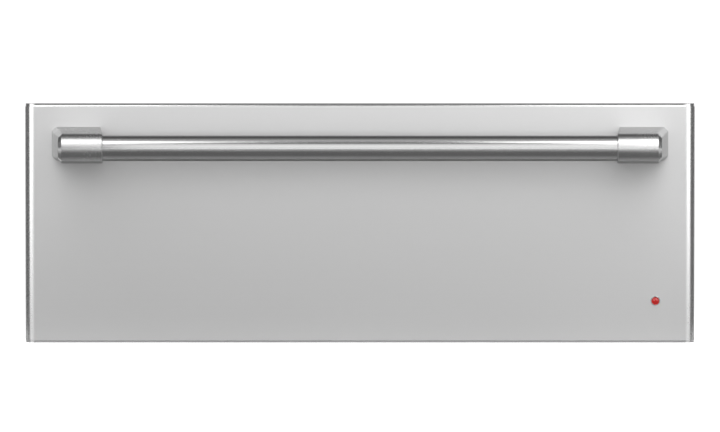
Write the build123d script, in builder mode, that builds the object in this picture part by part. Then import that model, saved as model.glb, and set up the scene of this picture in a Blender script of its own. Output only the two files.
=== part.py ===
from build123d import *
from math import cos, radians, sin
import os

# Built-in warming drawer, in millimetres.
# x runs across, y runs into the cabinet and z runs up. The cabinet face is y = 0, the chassis stands
# on z = 0 and the middle of the drawer is x = 0, so the drawer opens along -y.

# Drawer front, the part that is seen when the drawer is shut
FRONT_WIDTH = 755.65
FRONT_HEIGHT = 269.9
FRONT_THICKNESS = 22.0
FRONT_DROP = 18.0
FRONT_GAP = 4.0
SKIN = 1.2
ROLL_RADIUS = 10.5
BEND_RADIUS = 3.7
CORNER_DROP = 3.4
CORNER_WIDTH = 11.0
CORNER_DEPTH = 6.0

# Handle
HANDLE_BELOW_TOP = 48.3
HANDLE_STANDOFF = 52.0
BAR_DIAMETER = 28.6
BAR_WALL = 1.5
BAR_SOCKET = 30.0
CAP_DIAMETER = 34.0
CAP_LENGTH = 49.8
CAP_FROM_SIDE = 39.4
CAP_OUTER_END = FRONT_WIDTH / 2 - CAP_FROM_SIDE
CAP_CHAMFER = 3.8
CAP_EDGE = 0.8
POST_WIDTH = 54.6
POST_HEIGHT = 37.6
POST_CORNER = 4.8
POST_SPLAY = 6.7
POST_RISE = 3.4
POST_INSET = 0.5
BOLT_DIAMETER = 6.0
BOLT_HEAD = 10.0
BOLT_HEAD_HEIGHT = 4.0
BOLT_REACH = 16.0
BOLT_SPACING = 26.0
BACKING_PLATE = 3.0
SET_SCREW_DIAMETER = 4.0

# Indicator light low on the right of the front
LIGHT_FROM_SIDE = 44.4
LIGHT_FROM_MIDDLE = FRONT_WIDTH / 2 - LIGHT_FROM_SIDE
LIGHT_ABOVE_BOTTOM = 47.4
LENS_DIAMETER = 9.0
LENS_DOME = 2.6
LENS_STEM = 6.4
LENS_STEM_LENGTH = 4.0
BEZEL_DIAMETER = 10.8
BEZEL_HEIGHT = 0.8
LIGHT_PIPE_DIAMETER = 5.0
LED_DIAMETER = 5.0
LED_HOLDER_DIAMETER = 8.0
LED_COLLAR = 2.0

# Liner, insulation and gasket behind the front
LINER = 0.8
LINER_CLEARANCE = 0.4
LINER_SETBACK = 0.2
PLUG_MARGIN = 24.0
PLUG_BOTTOM = 20.0
PLUG_TOP = 178.0
PLUG_DEPTH = 10.2
PLUG_TAPER = 12.0
PLUG_CORNER = 9.0
GASKET_WIDTH = 8.0
GASKET_MARGIN = 5.0
GASKET_CORNER = 4.0
GASKET_GAP = 0.3

# Chassis that stands in the cabinet, and the frame round its mouth that laps the cabinet face
FRAME_INSET = 3.3
FRAME_FLANGE = 16.5
CHASSIS_HEIGHT = 232.0
CHASSIS_DEPTH = 575.0
SHEET = 1.0
BEND = 2.0
SEAM = 0.1
BASE_FLANGE = 16.0
SIDE_FLANGE = 14.0
BACK_FLANGE = 12.0
FRAME = 1.2
FRAME_WIDTH = FRONT_WIDTH - 2 * FRAME_INSET
CHASSIS_WIDTH = FRAME_WIDTH - 2 * FRAME_FLANGE
FRAME_RISE = 13.0
FRAME_LIP = 12.0
CABINET_SCREW_SPAN = FRAME_WIDTH - FRAME_LIP
CABINET_SCREW_LOW = 30.0
CABINET_SCREW_RISE = 174.0
CABINET_SCREW_HOLE = 4.5
RIB_END_SPACE = 77.5
RIB_LENGTH = CHASSIS_DEPTH - 2 * RIB_END_SPACE
RIB_WIDTH = 14.0
RIB_HEIGHT = 3.0
RIB_TAPER = 30.0
LOUVRE_LENGTH = 90.0
LOUVRE_RADIUS = 5.0
LOUVRE_PITCH = 16.0
LOUVRE_ROWS = 4
TOP_SLOTS = 9

# Heated cavity inside the chassis
WALL_SPACE = 16.0
CAVITY_WIDTH = CHASSIS_WIDTH - 2 * WALL_SPACE
CAVITY_FLOOR = 14.0
CAVITY_CEILING = 182.0
REAR_SPACE = 55.0
CAVITY_DEPTH = CHASSIS_DEPTH - REAR_SPACE
CAVITY_SHEET = 0.8
INSULATION_GAP = 0.5
CEILING_INSULATION = 10.0
REAR_INSULATION = 12.0

# Full-extension ball slides
SLIDE_START = 8.0
SLIDE_END_SPACE = 12.0
SLIDE_LENGTH = CAVITY_DEPTH - SLIDE_START - SLIDE_END_SPACE
SLIDE_MIDDLE = 110.0
SLIDE_THICKNESS = 12.7
SLIDE_STANDOFF = 0.2
OUTER_RAIL = 1.2
OUTER_HALF = 22.25
OUTER_LIP = 10.4
MIDDLE_RAIL = 1.0
MIDDLE_WEB = 2.8
MIDDLE_HALF = 16.9
MIDDLE_TIP = 10.4
INNER_RAIL = 1.2
INNER_HALF = 12.8
INNER_TIP = 4.6
RACE_CLEARANCE = 0.12
OUTER_BALL = 4.4
OUTER_BALL_DEPTH = 6.4
INNER_BALL = 3.2
INNER_BALL_DEPTH = 7.0
CAGE = 0.5
CAGE_LENGTH = SLIDE_LENGTH * 12 / 25
OUTER_CAGE_WEB = 1.75
INNER_CAGE_WEB = 3.95
CAGE_TIP = 9.4
BALLS_PER_RACE = 3
BALL_PITCH = CAGE_LENGTH * 3 / 8

# Drawer box
BRACKET = 1.2
BRACKET_BOTTOM = 84.0
BRACKET_TAB = 15.0
BRACKET_TAB_HEIGHT = 70.0
PAN_MARGIN = 22.0
PAN_WIDTH = CAVITY_WIDTH - 2 * PAN_MARGIN
PAN_FRONT = 44.0
PAN_REAR_SPACE = 30.0
PAN_BACK = CAVITY_DEPTH - PAN_REAR_SPACE
PAN_FLOOR = 42.0
PAN_RIM = 172.0
PAN_SHEET = 0.8
PAN_RIM_WIDTH = 7.4
PAN_CORNER = 28.0
PAN_FLOOR_BEVEL = 10.0
CROSSBAR_HEIGHT = 60.0
RACK_WIRE = 4.0
RACK_CROSS_WIRE = 3.0
RACK_MARGIN = 18.0
RACK_HEIGHT = 14.0
RACK_CROSS_WIRES = 13
RACK_CORNER = 18.0

# Sliding moisture vent between the front and the pan
VENT_LENGTH = 300.0
VENT_SHEET = 0.8
VENT_GAP = 0.4
VENT_SLOTS = 9
VENT_PITCH = 30.0
VENT_SLOT_LENGTH = 12.0
VENT_SLOT_WIDTH = 8.0
VENT_TRAVEL = 15.0
VENT_TAB_LENGTH = 10.0
VENT_TAB_WIDTH = 3.0
VENT_TAB_HEIGHT = 7.0
VENT_TAB_FROM_FRONT = 6.0

# Heating element under the pan
ELEMENT_DIAMETER = 6.6
ELEMENT_HEIGHT = 24.0
ELEMENT_BEND = 24.0
ELEMENT_INSET = 80.0
ELEMENT_HALF_WIDTH = PAN_WIDTH / 2 - ELEMENT_INSET
ELEMENT_INNER = ELEMENT_HALF_WIDTH * 2 / 5
ELEMENT_LEG = 30.0
ELEMENT_FRONT = 90.0
ELEMENT_REAR_SPACE = 54.0
ELEMENT_REAR = CAVITY_DEPTH - ELEMENT_REAR_SPACE
ELEMENT_MIDDLE_SPACE = 96.0
ELEMENT_MIDDLE = ELEMENT_REAR - ELEMENT_MIDDLE_SPACE
ELEMENT_TAIL = 16.0
SENSOR_DIAMETER = 4.8
SENSOR_HEIGHT = 35.0
SENSOR_FROM_MIDDLE = -150.0
SENSOR_REACH = 70.0
CUTOUT_DIAMETER = 18.0
CUTOUT_HEIGHT = 9.0
CUTOUT_FROM_MIDDLE = 130.0
CUTOUT_ABOVE_FLOOR = 96.0

# Control compartment above the cavity
TRAY_HEIGHT = 193.4
TRAY_DEPTH = 300.0
FASCIA_WIDTH = CAVITY_WIDTH - FRAME_LIP
FASCIA_BOTTOM = 198.0
FASCIA_TOP = 226.0
FASCIA_RECESS = 5.0
FASCIA_THICKNESS = 3.0
BUTTON_LENGTH = 26.0
BUTTON_WIDTH = 12.0
BUTTON_PITCH = 42.0
BUTTON_FROM_END = 216.0
BUTTON_FIRST = FASCIA_WIDTH / 2 - BUTTON_FROM_END
BUTTON_PROUD = 2.5
BUTTON_TRAVEL = 1.2
BUTTON_CLEARANCE = 0.4
BUTTON_COLLAR = 1.0
BUTTON_COLLAR_MARGIN = 1.6
BOSS_DIAMETER = 4.0
BOARD_THICKNESS = 1.6
BOARD_LENGTH = 170.0
BOARD_WIDTH = 110.0
BOARD_FROM_SIDE = 168.0
BOARD_FROM_MIDDLE = CHASSIS_WIDTH / 2 - BOARD_FROM_SIDE
BOARD_FROM_FRONT = 60.0
BOARD_STANDOFF = 6.0
TRANSFORMER_SIZE = (44.0, 36.0)
RELAY_SIZE = (22.0, 30.0)
CAPACITOR_RADIUS = 9.0
CONNECTOR_SIZE = (50.0, 10.0)
COMPONENT_HEIGHT = 18.0

# Supply connection at the back
JUNCTION_WIDTH = 120.0
JUNCTION_HEIGHT = 70.0
JUNCTION_FROM_SIDE = 88.0
JUNCTION_FROM_MIDDLE = CHASSIS_WIDTH / 2 - JUNCTION_FROM_SIDE
JUNCTION_ABOVE_BASE = 50.0
KNOCKOUT_DIAMETER = 22.2
BUSHING_BORE = 16.0
BLOCK_WIDTH = 48.0
BLOCK_HEIGHT = 20.0
BLOCK_DEPTH = 14.0
BLOCK_PITCH = 15.0
BLOCK_WALL = 2.0

# Small round holes, screws and wires are drawn with a few flats, which keeps the model light
SMALL_SIDES = 8
WIRE_SIDES = 6
BEZEL_SIDES = 24
BALL_SIDES = 6
BALL_FACET = 45.0

# Screws that hold sheets and rails
SCREW_DIAMETER = 3.6
SCREW_HEAD = 7.0
SCREW_HEAD_HEIGHT = 1.8
SCREW_LENGTH = 3.2

# Places worked out from the sizes above
front_back_y = -FRONT_GAP
front_face_y = front_back_y - FRONT_THICKNESS
front_bottom_z = -FRONT_DROP
front_top_z = front_bottom_z + FRONT_HEIGHT
skin_inside_y = front_face_y + SKIN
handle_axis_y = front_face_y - HANDLE_STANDOFF
handle_axis_z = front_top_z - HANDLE_BELOW_TOP
cap_middle_x = CAP_OUTER_END - CAP_LENGTH / 2
bar_half_length = CAP_OUTER_END - CAP_LENGTH + BAR_SOCKET
post_middle_x = cap_middle_x + POST_SPLAY
post_middle_z = handle_axis_z + POST_RISE
light_z = front_bottom_z + LIGHT_ABOVE_BOTTOM
liner_y = front_back_y - LINER - LINER_SETBACK
liner_back_y = liner_y + LINER
plug_face_y = liner_back_y + PLUG_DEPTH
plug_middle_z = (PLUG_BOTTOM + PLUG_TOP) / 2
cavity_half = CAVITY_WIDTH / 2
cavity_height = CAVITY_CEILING - CAVITY_FLOOR
cavity_middle_z = (CAVITY_CEILING + CAVITY_FLOOR) / 2
chassis_half = CHASSIS_WIDTH / 2
plug_width = CAVITY_WIDTH - 2 * PLUG_MARGIN
frame_bottom_z = SHEET + SEAM
frame_top_z = CHASSIS_HEIGHT + FRAME_RISE
slide_back_x = cavity_half - SLIDE_STANDOFF
bracket_outer_x = slide_back_x - SLIDE_THICKNESS - SEAM
bracket_inner_x = bracket_outer_x - BRACKET
bracket_top_z = PAN_RIM - PAN_SHEET - SEAM
outer_ball_half = (OUTER_HALF - OUTER_RAIL / 2 + MIDDLE_HALF + MIDDLE_RAIL / 2) / 2
inner_ball_half = (MIDDLE_HALF - MIDDLE_RAIL / 2 + INNER_HALF + INNER_RAIL / 2) / 2
screw_rows = [SLIDE_START + SLIDE_LENGTH * share for share in (0.1, 0.5, 0.9)]
cage_start = SLIDE_START + (SLIDE_LENGTH - CAGE_LENGTH) / 2
pan_middle_y = (PAN_FRONT + PAN_BACK) / 2
pan_length = PAN_BACK - PAN_FRONT
fascia_middle_z = (FASCIA_BOTTOM + FASCIA_TOP) / 2
fascia_back_y = FASCIA_RECESS + FASCIA_THICKNESS
button_places = [BUTTON_FIRST, BUTTON_FIRST + BUTTON_PITCH, BUTTON_FIRST + 2 * BUTTON_PITCH]
sides = {"left": -1, "right": 1}


def front_plane(y):
    """Upright plane at y, drawn as seen from the front, whose normal points at the viewer."""
    return Plane.XZ.offset(-y)


def rear_plane(y):
    """Upright plane at y, drawn as seen from the back, whose normal points into the cabinet."""
    return Plane(origin=(0, y, 0), x_dir=(-1, 0, 0), z_dir=(0, 1, 0))


def small_round(radius, mode=Mode.ADD):
    """Small round section with a few flats, for a hole or for the shank that goes in it."""
    return RegularPolygon(radius, SMALL_SIDES, mode=mode)


def folded(plane, points, thickness, radius):
    """Section of a sheet folded along the middle line through the points."""
    with BuildSketch(plane) as section:
        with BuildLine():
            FilletPolyline(*points, radius=radius)
        trace(line_width=thickness)
    return section.sketch


def channel(side, start, depth, half, web, thickness, lip=None):
    """Section of a slide member: a channel whose web stands at one depth from the cavity wall."""
    back = side * (slide_back_x - web)
    tip = side * (slide_back_x - depth)
    points = [(tip, SLIDE_MIDDLE + half), (back, SLIDE_MIDDLE + half)]
    points += [(back, SLIDE_MIDDLE - half), (tip, SLIDE_MIDDLE - half)]
    if lip is not None:
        points.insert(0, (tip, SLIDE_MIDDLE + half - lip))
        points.append((tip, SLIDE_MIDDLE - half + lip))
    return folded(front_plane(start), points, thickness, 0)


def race_places(depth, half):
    """Middles of the four ball races of both slides, in the plane of the slide's section."""
    return [(side * (slide_back_x - depth), SLIDE_MIDDLE + end * half) for side in (-1, 1) for end in (-1, 1)]


def button(x):
    """Keycap with a collar that holds it behind the fascia."""
    front_y = FASCIA_RECESS - BUTTON_PROUD
    collar_y = fascia_back_y + GASKET_GAP
    with BuildPart() as key:
        with BuildSketch(rear_plane(front_y)):
            with Locations((-x, fascia_middle_z)):
                Rectangle(BUTTON_LENGTH, BUTTON_WIDTH)
        extrude(amount=collar_y - front_y)
        chamfer(key.edges().group_by(Axis.Y)[0], BUTTON_WIDTH / 12)
        with BuildSketch(rear_plane(collar_y)):
            with Locations((-x, fascia_middle_z)):
                Rectangle(BUTTON_LENGTH + 2 * BUTTON_COLLAR_MARGIN, BUTTON_WIDTH + 2 * BUTTON_COLLAR_MARGIN)
        extrude(amount=BUTTON_COLLAR)
    return key


# ---- Drawer front ----

roll_start_x = FRONT_WIDTH / 2 - ROLL_RADIUS
with BuildPart() as front_skin:
    # Face with its top and bottom edges bent back
    face_line = [
        (front_back_y, front_top_z - SKIN / 2),
        (front_face_y + SKIN / 2, front_top_z - SKIN / 2),
        (front_face_y + SKIN / 2, front_bottom_z + SKIN / 2),
        (front_back_y, front_bottom_z + SKIN / 2),
    ]
    face_section = folded(Plane.YZ.offset(-roll_start_x), face_line, SKIN, BEND_RADIUS - SKIN / 2)
    extrude(face_section, amount=2 * roll_start_x, dir=(1, 0, 0))
    for side in sides.values():
        # Side roll, which stops short of the top and bottom bends
        roll_line = [
            (side * (roll_start_x - SKIN), front_face_y + SKIN / 2),
            (side * (FRONT_WIDTH - SKIN) / 2, front_face_y + SKIN / 2),
            (side * (FRONT_WIDTH - SKIN) / 2, front_back_y),
        ]
        roll_section = folded(
            Plane.XY.offset(front_bottom_z + CORNER_DROP), roll_line, SKIN, ROLL_RADIUS - SKIN / 2
        )
        extrude(roll_section, amount=FRONT_HEIGHT - 2 * CORNER_DROP, dir=(0, 0, 1))
        # Set-back corners that close the ends of the roll
        corner_x = side * ((FRONT_WIDTH - SKIN) / 2 - CORNER_WIDTH / 2)
        corner_front_y = front_face_y + SKIN / 2
        corner_back_y = liner_y - SEAM
        for corner_z in (front_bottom_z + CORNER_DEPTH / 2, front_top_z - CORNER_DEPTH / 2):
            with BuildSketch(Plane.XY.offset(corner_z)) as corner:
                with Locations((corner_x, (corner_front_y + corner_back_y) / 2)):
                    Rectangle(CORNER_WIDTH, corner_back_y - corner_front_y)
                outer_corners = corner.vertices().group_by(Axis.Y)[0].sort_by(Axis.X)
                fillet(outer_corners[-1] if side > 0 else outer_corners[0], ROLL_RADIUS - SKIN / 2)
            extrude(amount=CORNER_DEPTH / 2, both=True)
    with BuildSketch(rear_plane(front_face_y)):
        with Locations((-LIGHT_FROM_MIDDLE, light_z)):
            small_round((LENS_STEM + SEAM) / 2)
        for side in sides.values():
            with Locations((side * post_middle_x, post_middle_z)):
                with GridLocations(BOLT_SPACING, 0, 2, 1):
                    small_round((BOLT_DIAMETER + SEAM) / 2)
    extrude(amount=SKIN * 2, mode=Mode.SUBTRACT)

with BuildPart() as front_liner:
    with BuildSketch(rear_plane(liner_y)):
        with Locations((0, front_bottom_z + FRONT_HEIGHT / 2)):
            liner_margin = 2 * (SKIN + LINER_CLEARANCE)
            Rectangle(FRONT_WIDTH - liner_margin, FRONT_HEIGHT - liner_margin)
    extrude(amount=LINER)
    with BuildSketch(rear_plane(liner_y)):
        with Locations((0, plug_middle_z)):
            plug = Rectangle(plug_width, PLUG_TOP - PLUG_BOTTOM)
            chamfer(plug.vertices(), PLUG_CORNER)
    extrude(amount=LINER + PLUG_DEPTH, taper=PLUG_TAPER)
    with BuildSketch(rear_plane(liner_y)):
        with Locations((0, plug_middle_z)):
            well = Rectangle(plug_width - 2 * LINER, PLUG_TOP - PLUG_BOTTOM - 2 * LINER)
            chamfer(well.vertices(), PLUG_CORNER)
    extrude(amount=PLUG_DEPTH, taper=PLUG_TAPER, mode=Mode.SUBTRACT)
    with BuildSketch(rear_plane(liner_y)):
        with Locations((-LIGHT_FROM_MIDDLE, light_z)):
            small_round((LIGHT_PIPE_DIAMETER + SEAM) / 2)
    extrude(amount=LINER, mode=Mode.SUBTRACT)

plate_width = BOLT_SPACING + BOLT_HEAD + 2 * BACKING_PLATE
plate_height = POST_HEIGHT - 2 * BACKING_PLATE
batt_margin = BRACKET_TAB - BACKING_PLATE
with BuildPart() as front_insulation:
    with BuildSketch(rear_plane(skin_inside_y + SEAM)):
        with Locations((0, front_bottom_z + FRONT_HEIGHT / 2)):
            Rectangle(FRONT_WIDTH - 2 * batt_margin, FRONT_HEIGHT - 2 * batt_margin)
        with Locations((-post_middle_x, post_middle_z), (post_middle_x, post_middle_z)):
            Rectangle(plate_width + 2 * SKIN, plate_height + 2 * SKIN, mode=Mode.SUBTRACT)
        with Locations((-LIGHT_FROM_MIDDLE, light_z)):
            small_round(LENS_DIAMETER, mode=Mode.SUBTRACT)
    extrude(amount=liner_y - skin_inside_y - 2 * SEAM)

gasket_width = CAVITY_WIDTH + 2 * (GASKET_MARGIN + GASKET_WIDTH)
gasket_height = cavity_height + 2 * (GASKET_MARGIN + GASKET_WIDTH)
with BuildPart() as front_gasket:
    with BuildSketch(rear_plane(liner_back_y)):
        with Locations((0, cavity_middle_z)):
            outer_edge = Rectangle(gasket_width, gasket_height)
            chamfer(outer_edge.vertices(), GASKET_CORNER)
            Rectangle(gasket_width - 2 * GASKET_WIDTH, gasket_height - 2 * GASKET_WIDTH, mode=Mode.SUBTRACT)
    extrude(amount=-FRAME - GASKET_GAP - liner_back_y)

# ---- Handle ----

with BuildPart() as handle_bar:
    with BuildSketch(Plane.YZ.offset(-bar_half_length)):
        with Locations((handle_axis_y, handle_axis_z)):
            Circle(BAR_DIAMETER / 2)
            Circle(BAR_DIAMETER / 2 - BAR_WALL, mode=Mode.SUBTRACT)
    extrude(amount=2 * bar_half_length)

handle_posts = {}
for side_name, side in sides.items():
    with BuildPart() as post:
        # Round end that holds the bar
        with BuildSketch(Plane.YZ.offset(side * cap_middle_x)):
            with Locations((handle_axis_y, handle_axis_z)):
                Circle(CAP_DIAMETER / 2)
        extrude(amount=CAP_LENGTH / 2, both=True)
        cap_rims = post.edges().filter_by(GeomType.CIRCLE).sort_by(Axis.X)
        chamfer(cap_rims[-1] if side > 0 else cap_rims[0], CAP_CHAMFER)
        cap_rims = post.edges().filter_by(GeomType.CIRCLE).sort_by(Axis.X)
        chamfer(cap_rims[0] if side > 0 else cap_rims[-1], CAP_EDGE)
        # Flared leg from a wide foot on the front to the round end, with its outer corners cut
        with BuildPart(mode=Mode.PRIVATE) as leg:
            with BuildSketch(Plane.XY.offset(post_middle_z)):
                head_half = CAP_LENGTH / 2 - POST_INSET
                with BuildLine():
                    Polyline(
                        (side * (post_middle_x - POST_WIDTH / 2), front_face_y),
                        (side * (post_middle_x + POST_WIDTH / 2), front_face_y),
                        (side * (cap_middle_x + head_half), handle_axis_y),
                        (side * (cap_middle_x - head_half), handle_axis_y),
                        close=True,
                    )
                make_face()
            extrude(amount=POST_HEIGHT, both=True)
            with BuildSketch(Plane.YZ):
                head_half = CAP_DIAMETER / 2 - POST_INSET
                with BuildLine():
                    Polyline(
                        (front_face_y, post_middle_z - POST_HEIGHT / 2),
                        (front_face_y, post_middle_z + POST_HEIGHT / 2),
                        (handle_axis_y, handle_axis_z + head_half),
                        (handle_axis_y, handle_axis_z - head_half),
                        close=True,
                    )
                make_face()
            extrude(amount=side * FRONT_WIDTH, mode=Mode.INTERSECT)
            slanted = leg.edges().filter_by(lambda edge: abs(edge.tangent_at(0).Y) > 0.9).sort_by(Axis.X)
            chamfer(slanted[-2:] if side > 0 else slanted[:2], POST_CORNER)
        add(leg.part)
        # Socket for the bar, threaded holes for the bolts and the set screw under the bar
        with BuildSketch(Plane.YZ.offset(side * (CAP_OUTER_END - CAP_LENGTH))):
            with Locations((handle_axis_y, handle_axis_z)):
                Circle((BAR_DIAMETER + SEAM) / 2)
        extrude(amount=side * (BAR_SOCKET + SEAM), mode=Mode.SUBTRACT)
        with BuildSketch(rear_plane(front_face_y - BOLT_REACH)):
            with Locations((-side * post_middle_x, post_middle_z)):
                with GridLocations(BOLT_SPACING, 0, 2, 1):
                    small_round((BOLT_DIAMETER + SEAM) / 2)
        extrude(amount=BOLT_REACH, mode=Mode.SUBTRACT)
        with BuildSketch(Plane.XY.offset(handle_axis_z - CAP_DIAMETER)):
            with Locations((side * (bar_half_length - BAR_SOCKET / 2), handle_axis_y)):
                small_round(SET_SCREW_DIAMETER / 2)
        extrude(amount=CAP_DIAMETER, mode=Mode.SUBTRACT)
    handle_posts[side_name] = post

with BuildPart() as handle_bolts:
    with BuildSketch(front_plane(skin_inside_y + BACKING_PLATE)):
        for side in sides.values():
            with Locations((side * post_middle_x, post_middle_z)):
                with GridLocations(BOLT_SPACING, 0, 2, 1):
                    small_round(BOLT_DIAMETER / 2)
    extrude(amount=BACKING_PLATE + SKIN + BOLT_REACH - SEAM)
    with BuildSketch(rear_plane(skin_inside_y + BACKING_PLATE)):
        for side in sides.values():
            with Locations((side * post_middle_x, post_middle_z)):
                with GridLocations(BOLT_SPACING, 0, 2, 1):
                    RegularPolygon(BOLT_HEAD / 2, 6, major_radius=False)
    extrude(amount=BOLT_HEAD_HEIGHT)

with BuildPart() as handle_backing_plates:
    with BuildSketch(rear_plane(skin_inside_y)):
        for side in sides.values():
            with Locations((side * post_middle_x, post_middle_z)):
                Rectangle(plate_width, plate_height)
                with GridLocations(BOLT_SPACING, 0, 2, 1):
                    small_round((BOLT_DIAMETER + SEAM) / 2, mode=Mode.SUBTRACT)
    extrude(amount=BACKING_PLATE)

set_screw_bottom = handle_axis_z - CAP_DIAMETER / 2 + SET_SCREW_DIAMETER / 4
with BuildPart() as bar_set_screws:
    with BuildSketch(Plane.XY.offset(set_screw_bottom)):
        for side in sides.values():
            with Locations((side * (bar_half_length - BAR_SOCKET / 2), handle_axis_y)):
                small_round((SET_SCREW_DIAMETER - SEAM) / 2)
                RegularPolygon(SET_SCREW_DIAMETER / 4, 6, mode=Mode.SUBTRACT)
    extrude(amount=handle_axis_z - BAR_DIAMETER / 2 - SEAM - set_screw_bottom)

# ---- Indicator light ----

lens_radius = (LENS_DIAMETER**2 / 4 + LENS_DOME**2) / (2 * LENS_DOME)
with BuildPart() as indicator_lens:
    # Dome turned about its own axis
    with BuildSketch(Plane.XY.offset(light_z)):
        with BuildLine():
            dome_top = (LIGHT_FROM_MIDDLE, front_face_y - LENS_DOME)
            dome_edge = (LIGHT_FROM_MIDDLE + LENS_DIAMETER / 2, front_face_y)
            RadiusArc(dome_top, dome_edge, lens_radius)
            Polyline(dome_edge, (LIGHT_FROM_MIDDLE, front_face_y), dome_top)
        make_face()
    revolve(axis=Axis((LIGHT_FROM_MIDDLE, 0, light_z), (0, 1, 0)))
    with BuildSketch(rear_plane(front_face_y)):
        with Locations((-LIGHT_FROM_MIDDLE, light_z)):
            small_round(LENS_STEM / 2)
    extrude(amount=LENS_STEM_LENGTH)

with BuildPart() as lens_bezel:
    with BuildSketch(front_plane(front_face_y)):
        with Locations((LIGHT_FROM_MIDDLE, light_z)):
            RegularPolygon(BEZEL_DIAMETER / 2, BEZEL_SIDES)
    extrude(amount=BEZEL_HEIGHT)
    chamfer(lens_bezel.edges().group_by(Axis.Y)[0], BEZEL_HEIGHT / 2)
    with BuildSketch(front_plane(front_face_y)):
        with Locations((LIGHT_FROM_MIDDLE, light_z)):
            RegularPolygon(LENS_DIAMETER / 2 + SEAM, BEZEL_SIDES)
    extrude(amount=BEZEL_HEIGHT, mode=Mode.SUBTRACT)

with BuildPart() as light_pipe:
    with BuildSketch(rear_plane(front_face_y + LENS_STEM_LENGTH + SEAM)):
        with Locations((-LIGHT_FROM_MIDDLE, light_z)):
            small_round(LIGHT_PIPE_DIAMETER / 2)
    extrude(amount=liner_back_y - front_face_y - LENS_STEM_LENGTH - 2 * SEAM)

with BuildPart() as indicator_led:
    with BuildSketch(rear_plane(-FRAME - LED_COLLAR / 2)):
        with Locations((-LIGHT_FROM_MIDDLE, light_z)):
            small_round(LED_HOLDER_DIAMETER / 2 + LED_COLLAR / 2)
    extrude(amount=LED_COLLAR / 2)
    with BuildSketch(rear_plane(-FRAME)):
        with Locations((-LIGHT_FROM_MIDDLE, light_z)):
            small_round((LED_HOLDER_DIAMETER - SEAM) / 2)
    extrude(amount=LED_HOLDER_DIAMETER)
    with BuildSketch(rear_plane(liner_back_y + 2 * GASKET_GAP)):
        with Locations((-LIGHT_FROM_MIDDLE, light_z)):
            small_round(LED_DIAMETER / 2)
    extrude(until=Until.NEXT)

# ---- Chassis ----

base_half = chassis_half - SHEET - SEAM
base_back_y = CHASSIS_DEPTH - SHEET - BACK_FLANGE
with BuildPart() as chassis_base:
    # Plate whose front edge the frame stands on
    with BuildSketch(Plane.XY):
        with Locations((0, (base_back_y - FRAME) / 2)):
            Rectangle(2 * base_half, base_back_y + FRAME)
    extrude(amount=SHEET)
    base_line = [(-base_half + SHEET / 2, BASE_FLANGE), (-base_half + SHEET / 2, SHEET / 2)]
    base_line += [(base_half - SHEET / 2, SHEET / 2), (base_half - SHEET / 2, BASE_FLANGE)]
    base_section = folded(front_plane(FRAME_LIP + SHEET), base_line, SHEET, 0)
    extrude(base_section, amount=base_back_y - FRAME_LIP - SHEET, dir=(0, 1, 0))
    # Stiffening ribs pressed upwards
    with BuildSketch(Plane.XY):
        with Locations((0, CHASSIS_DEPTH / 2)):
            with GridLocations(CHASSIS_WIDTH / 4, 0, 3, 1):
                Rectangle(RIB_WIDTH, RIB_LENGTH)
    extrude(amount=RIB_HEIGHT, taper=RIB_TAPER)
    with BuildSketch(Plane.XY):
        with Locations((0, CHASSIS_DEPTH / 2)):
            with GridLocations(CHASSIS_WIDTH / 4, 0, 3, 1):
                Rectangle(RIB_WIDTH - 2 * SHEET, RIB_LENGTH - 2 * SHEET)
    extrude(amount=RIB_HEIGHT - SHEET, taper=RIB_TAPER, mode=Mode.SUBTRACT)

panel_start_y = FRAME_LIP + SEAM
chassis_sides = {}
for side_name, side in sides.items():
    with BuildPart() as chassis_side:
        side_line = [
            (side * (chassis_half - SHEET / 2), 0),
            (side * (chassis_half - SHEET / 2), CHASSIS_HEIGHT - SHEET * 3 / 2 - SEAM),
            (side * (chassis_half - SIDE_FLANGE), CHASSIS_HEIGHT - SHEET * 3 / 2 - SEAM),
        ]
        side_section = folded(front_plane(panel_start_y), side_line, SHEET, BEND)
        extrude(side_section, amount=CHASSIS_DEPTH - panel_start_y, dir=(0, 1, 0))
    chassis_sides[side_name] = chassis_side

with BuildPart() as chassis_top:
    with BuildSketch(Plane.XY.offset(CHASSIS_HEIGHT - SHEET)):
        with Locations((0, (CHASSIS_DEPTH + panel_start_y) / 2)):
            Rectangle(CHASSIS_WIDTH, CHASSIS_DEPTH - panel_start_y)
        with Locations((0, CHASSIS_DEPTH - SIDE_FLANGE * 3)):
            with GridLocations(LOUVRE_PITCH * 2, 0, TOP_SLOTS, 1):
                Rectangle(LOUVRE_RADIUS, LOUVRE_LENGTH / 2, mode=Mode.SUBTRACT)
    extrude(amount=SHEET)

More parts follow.
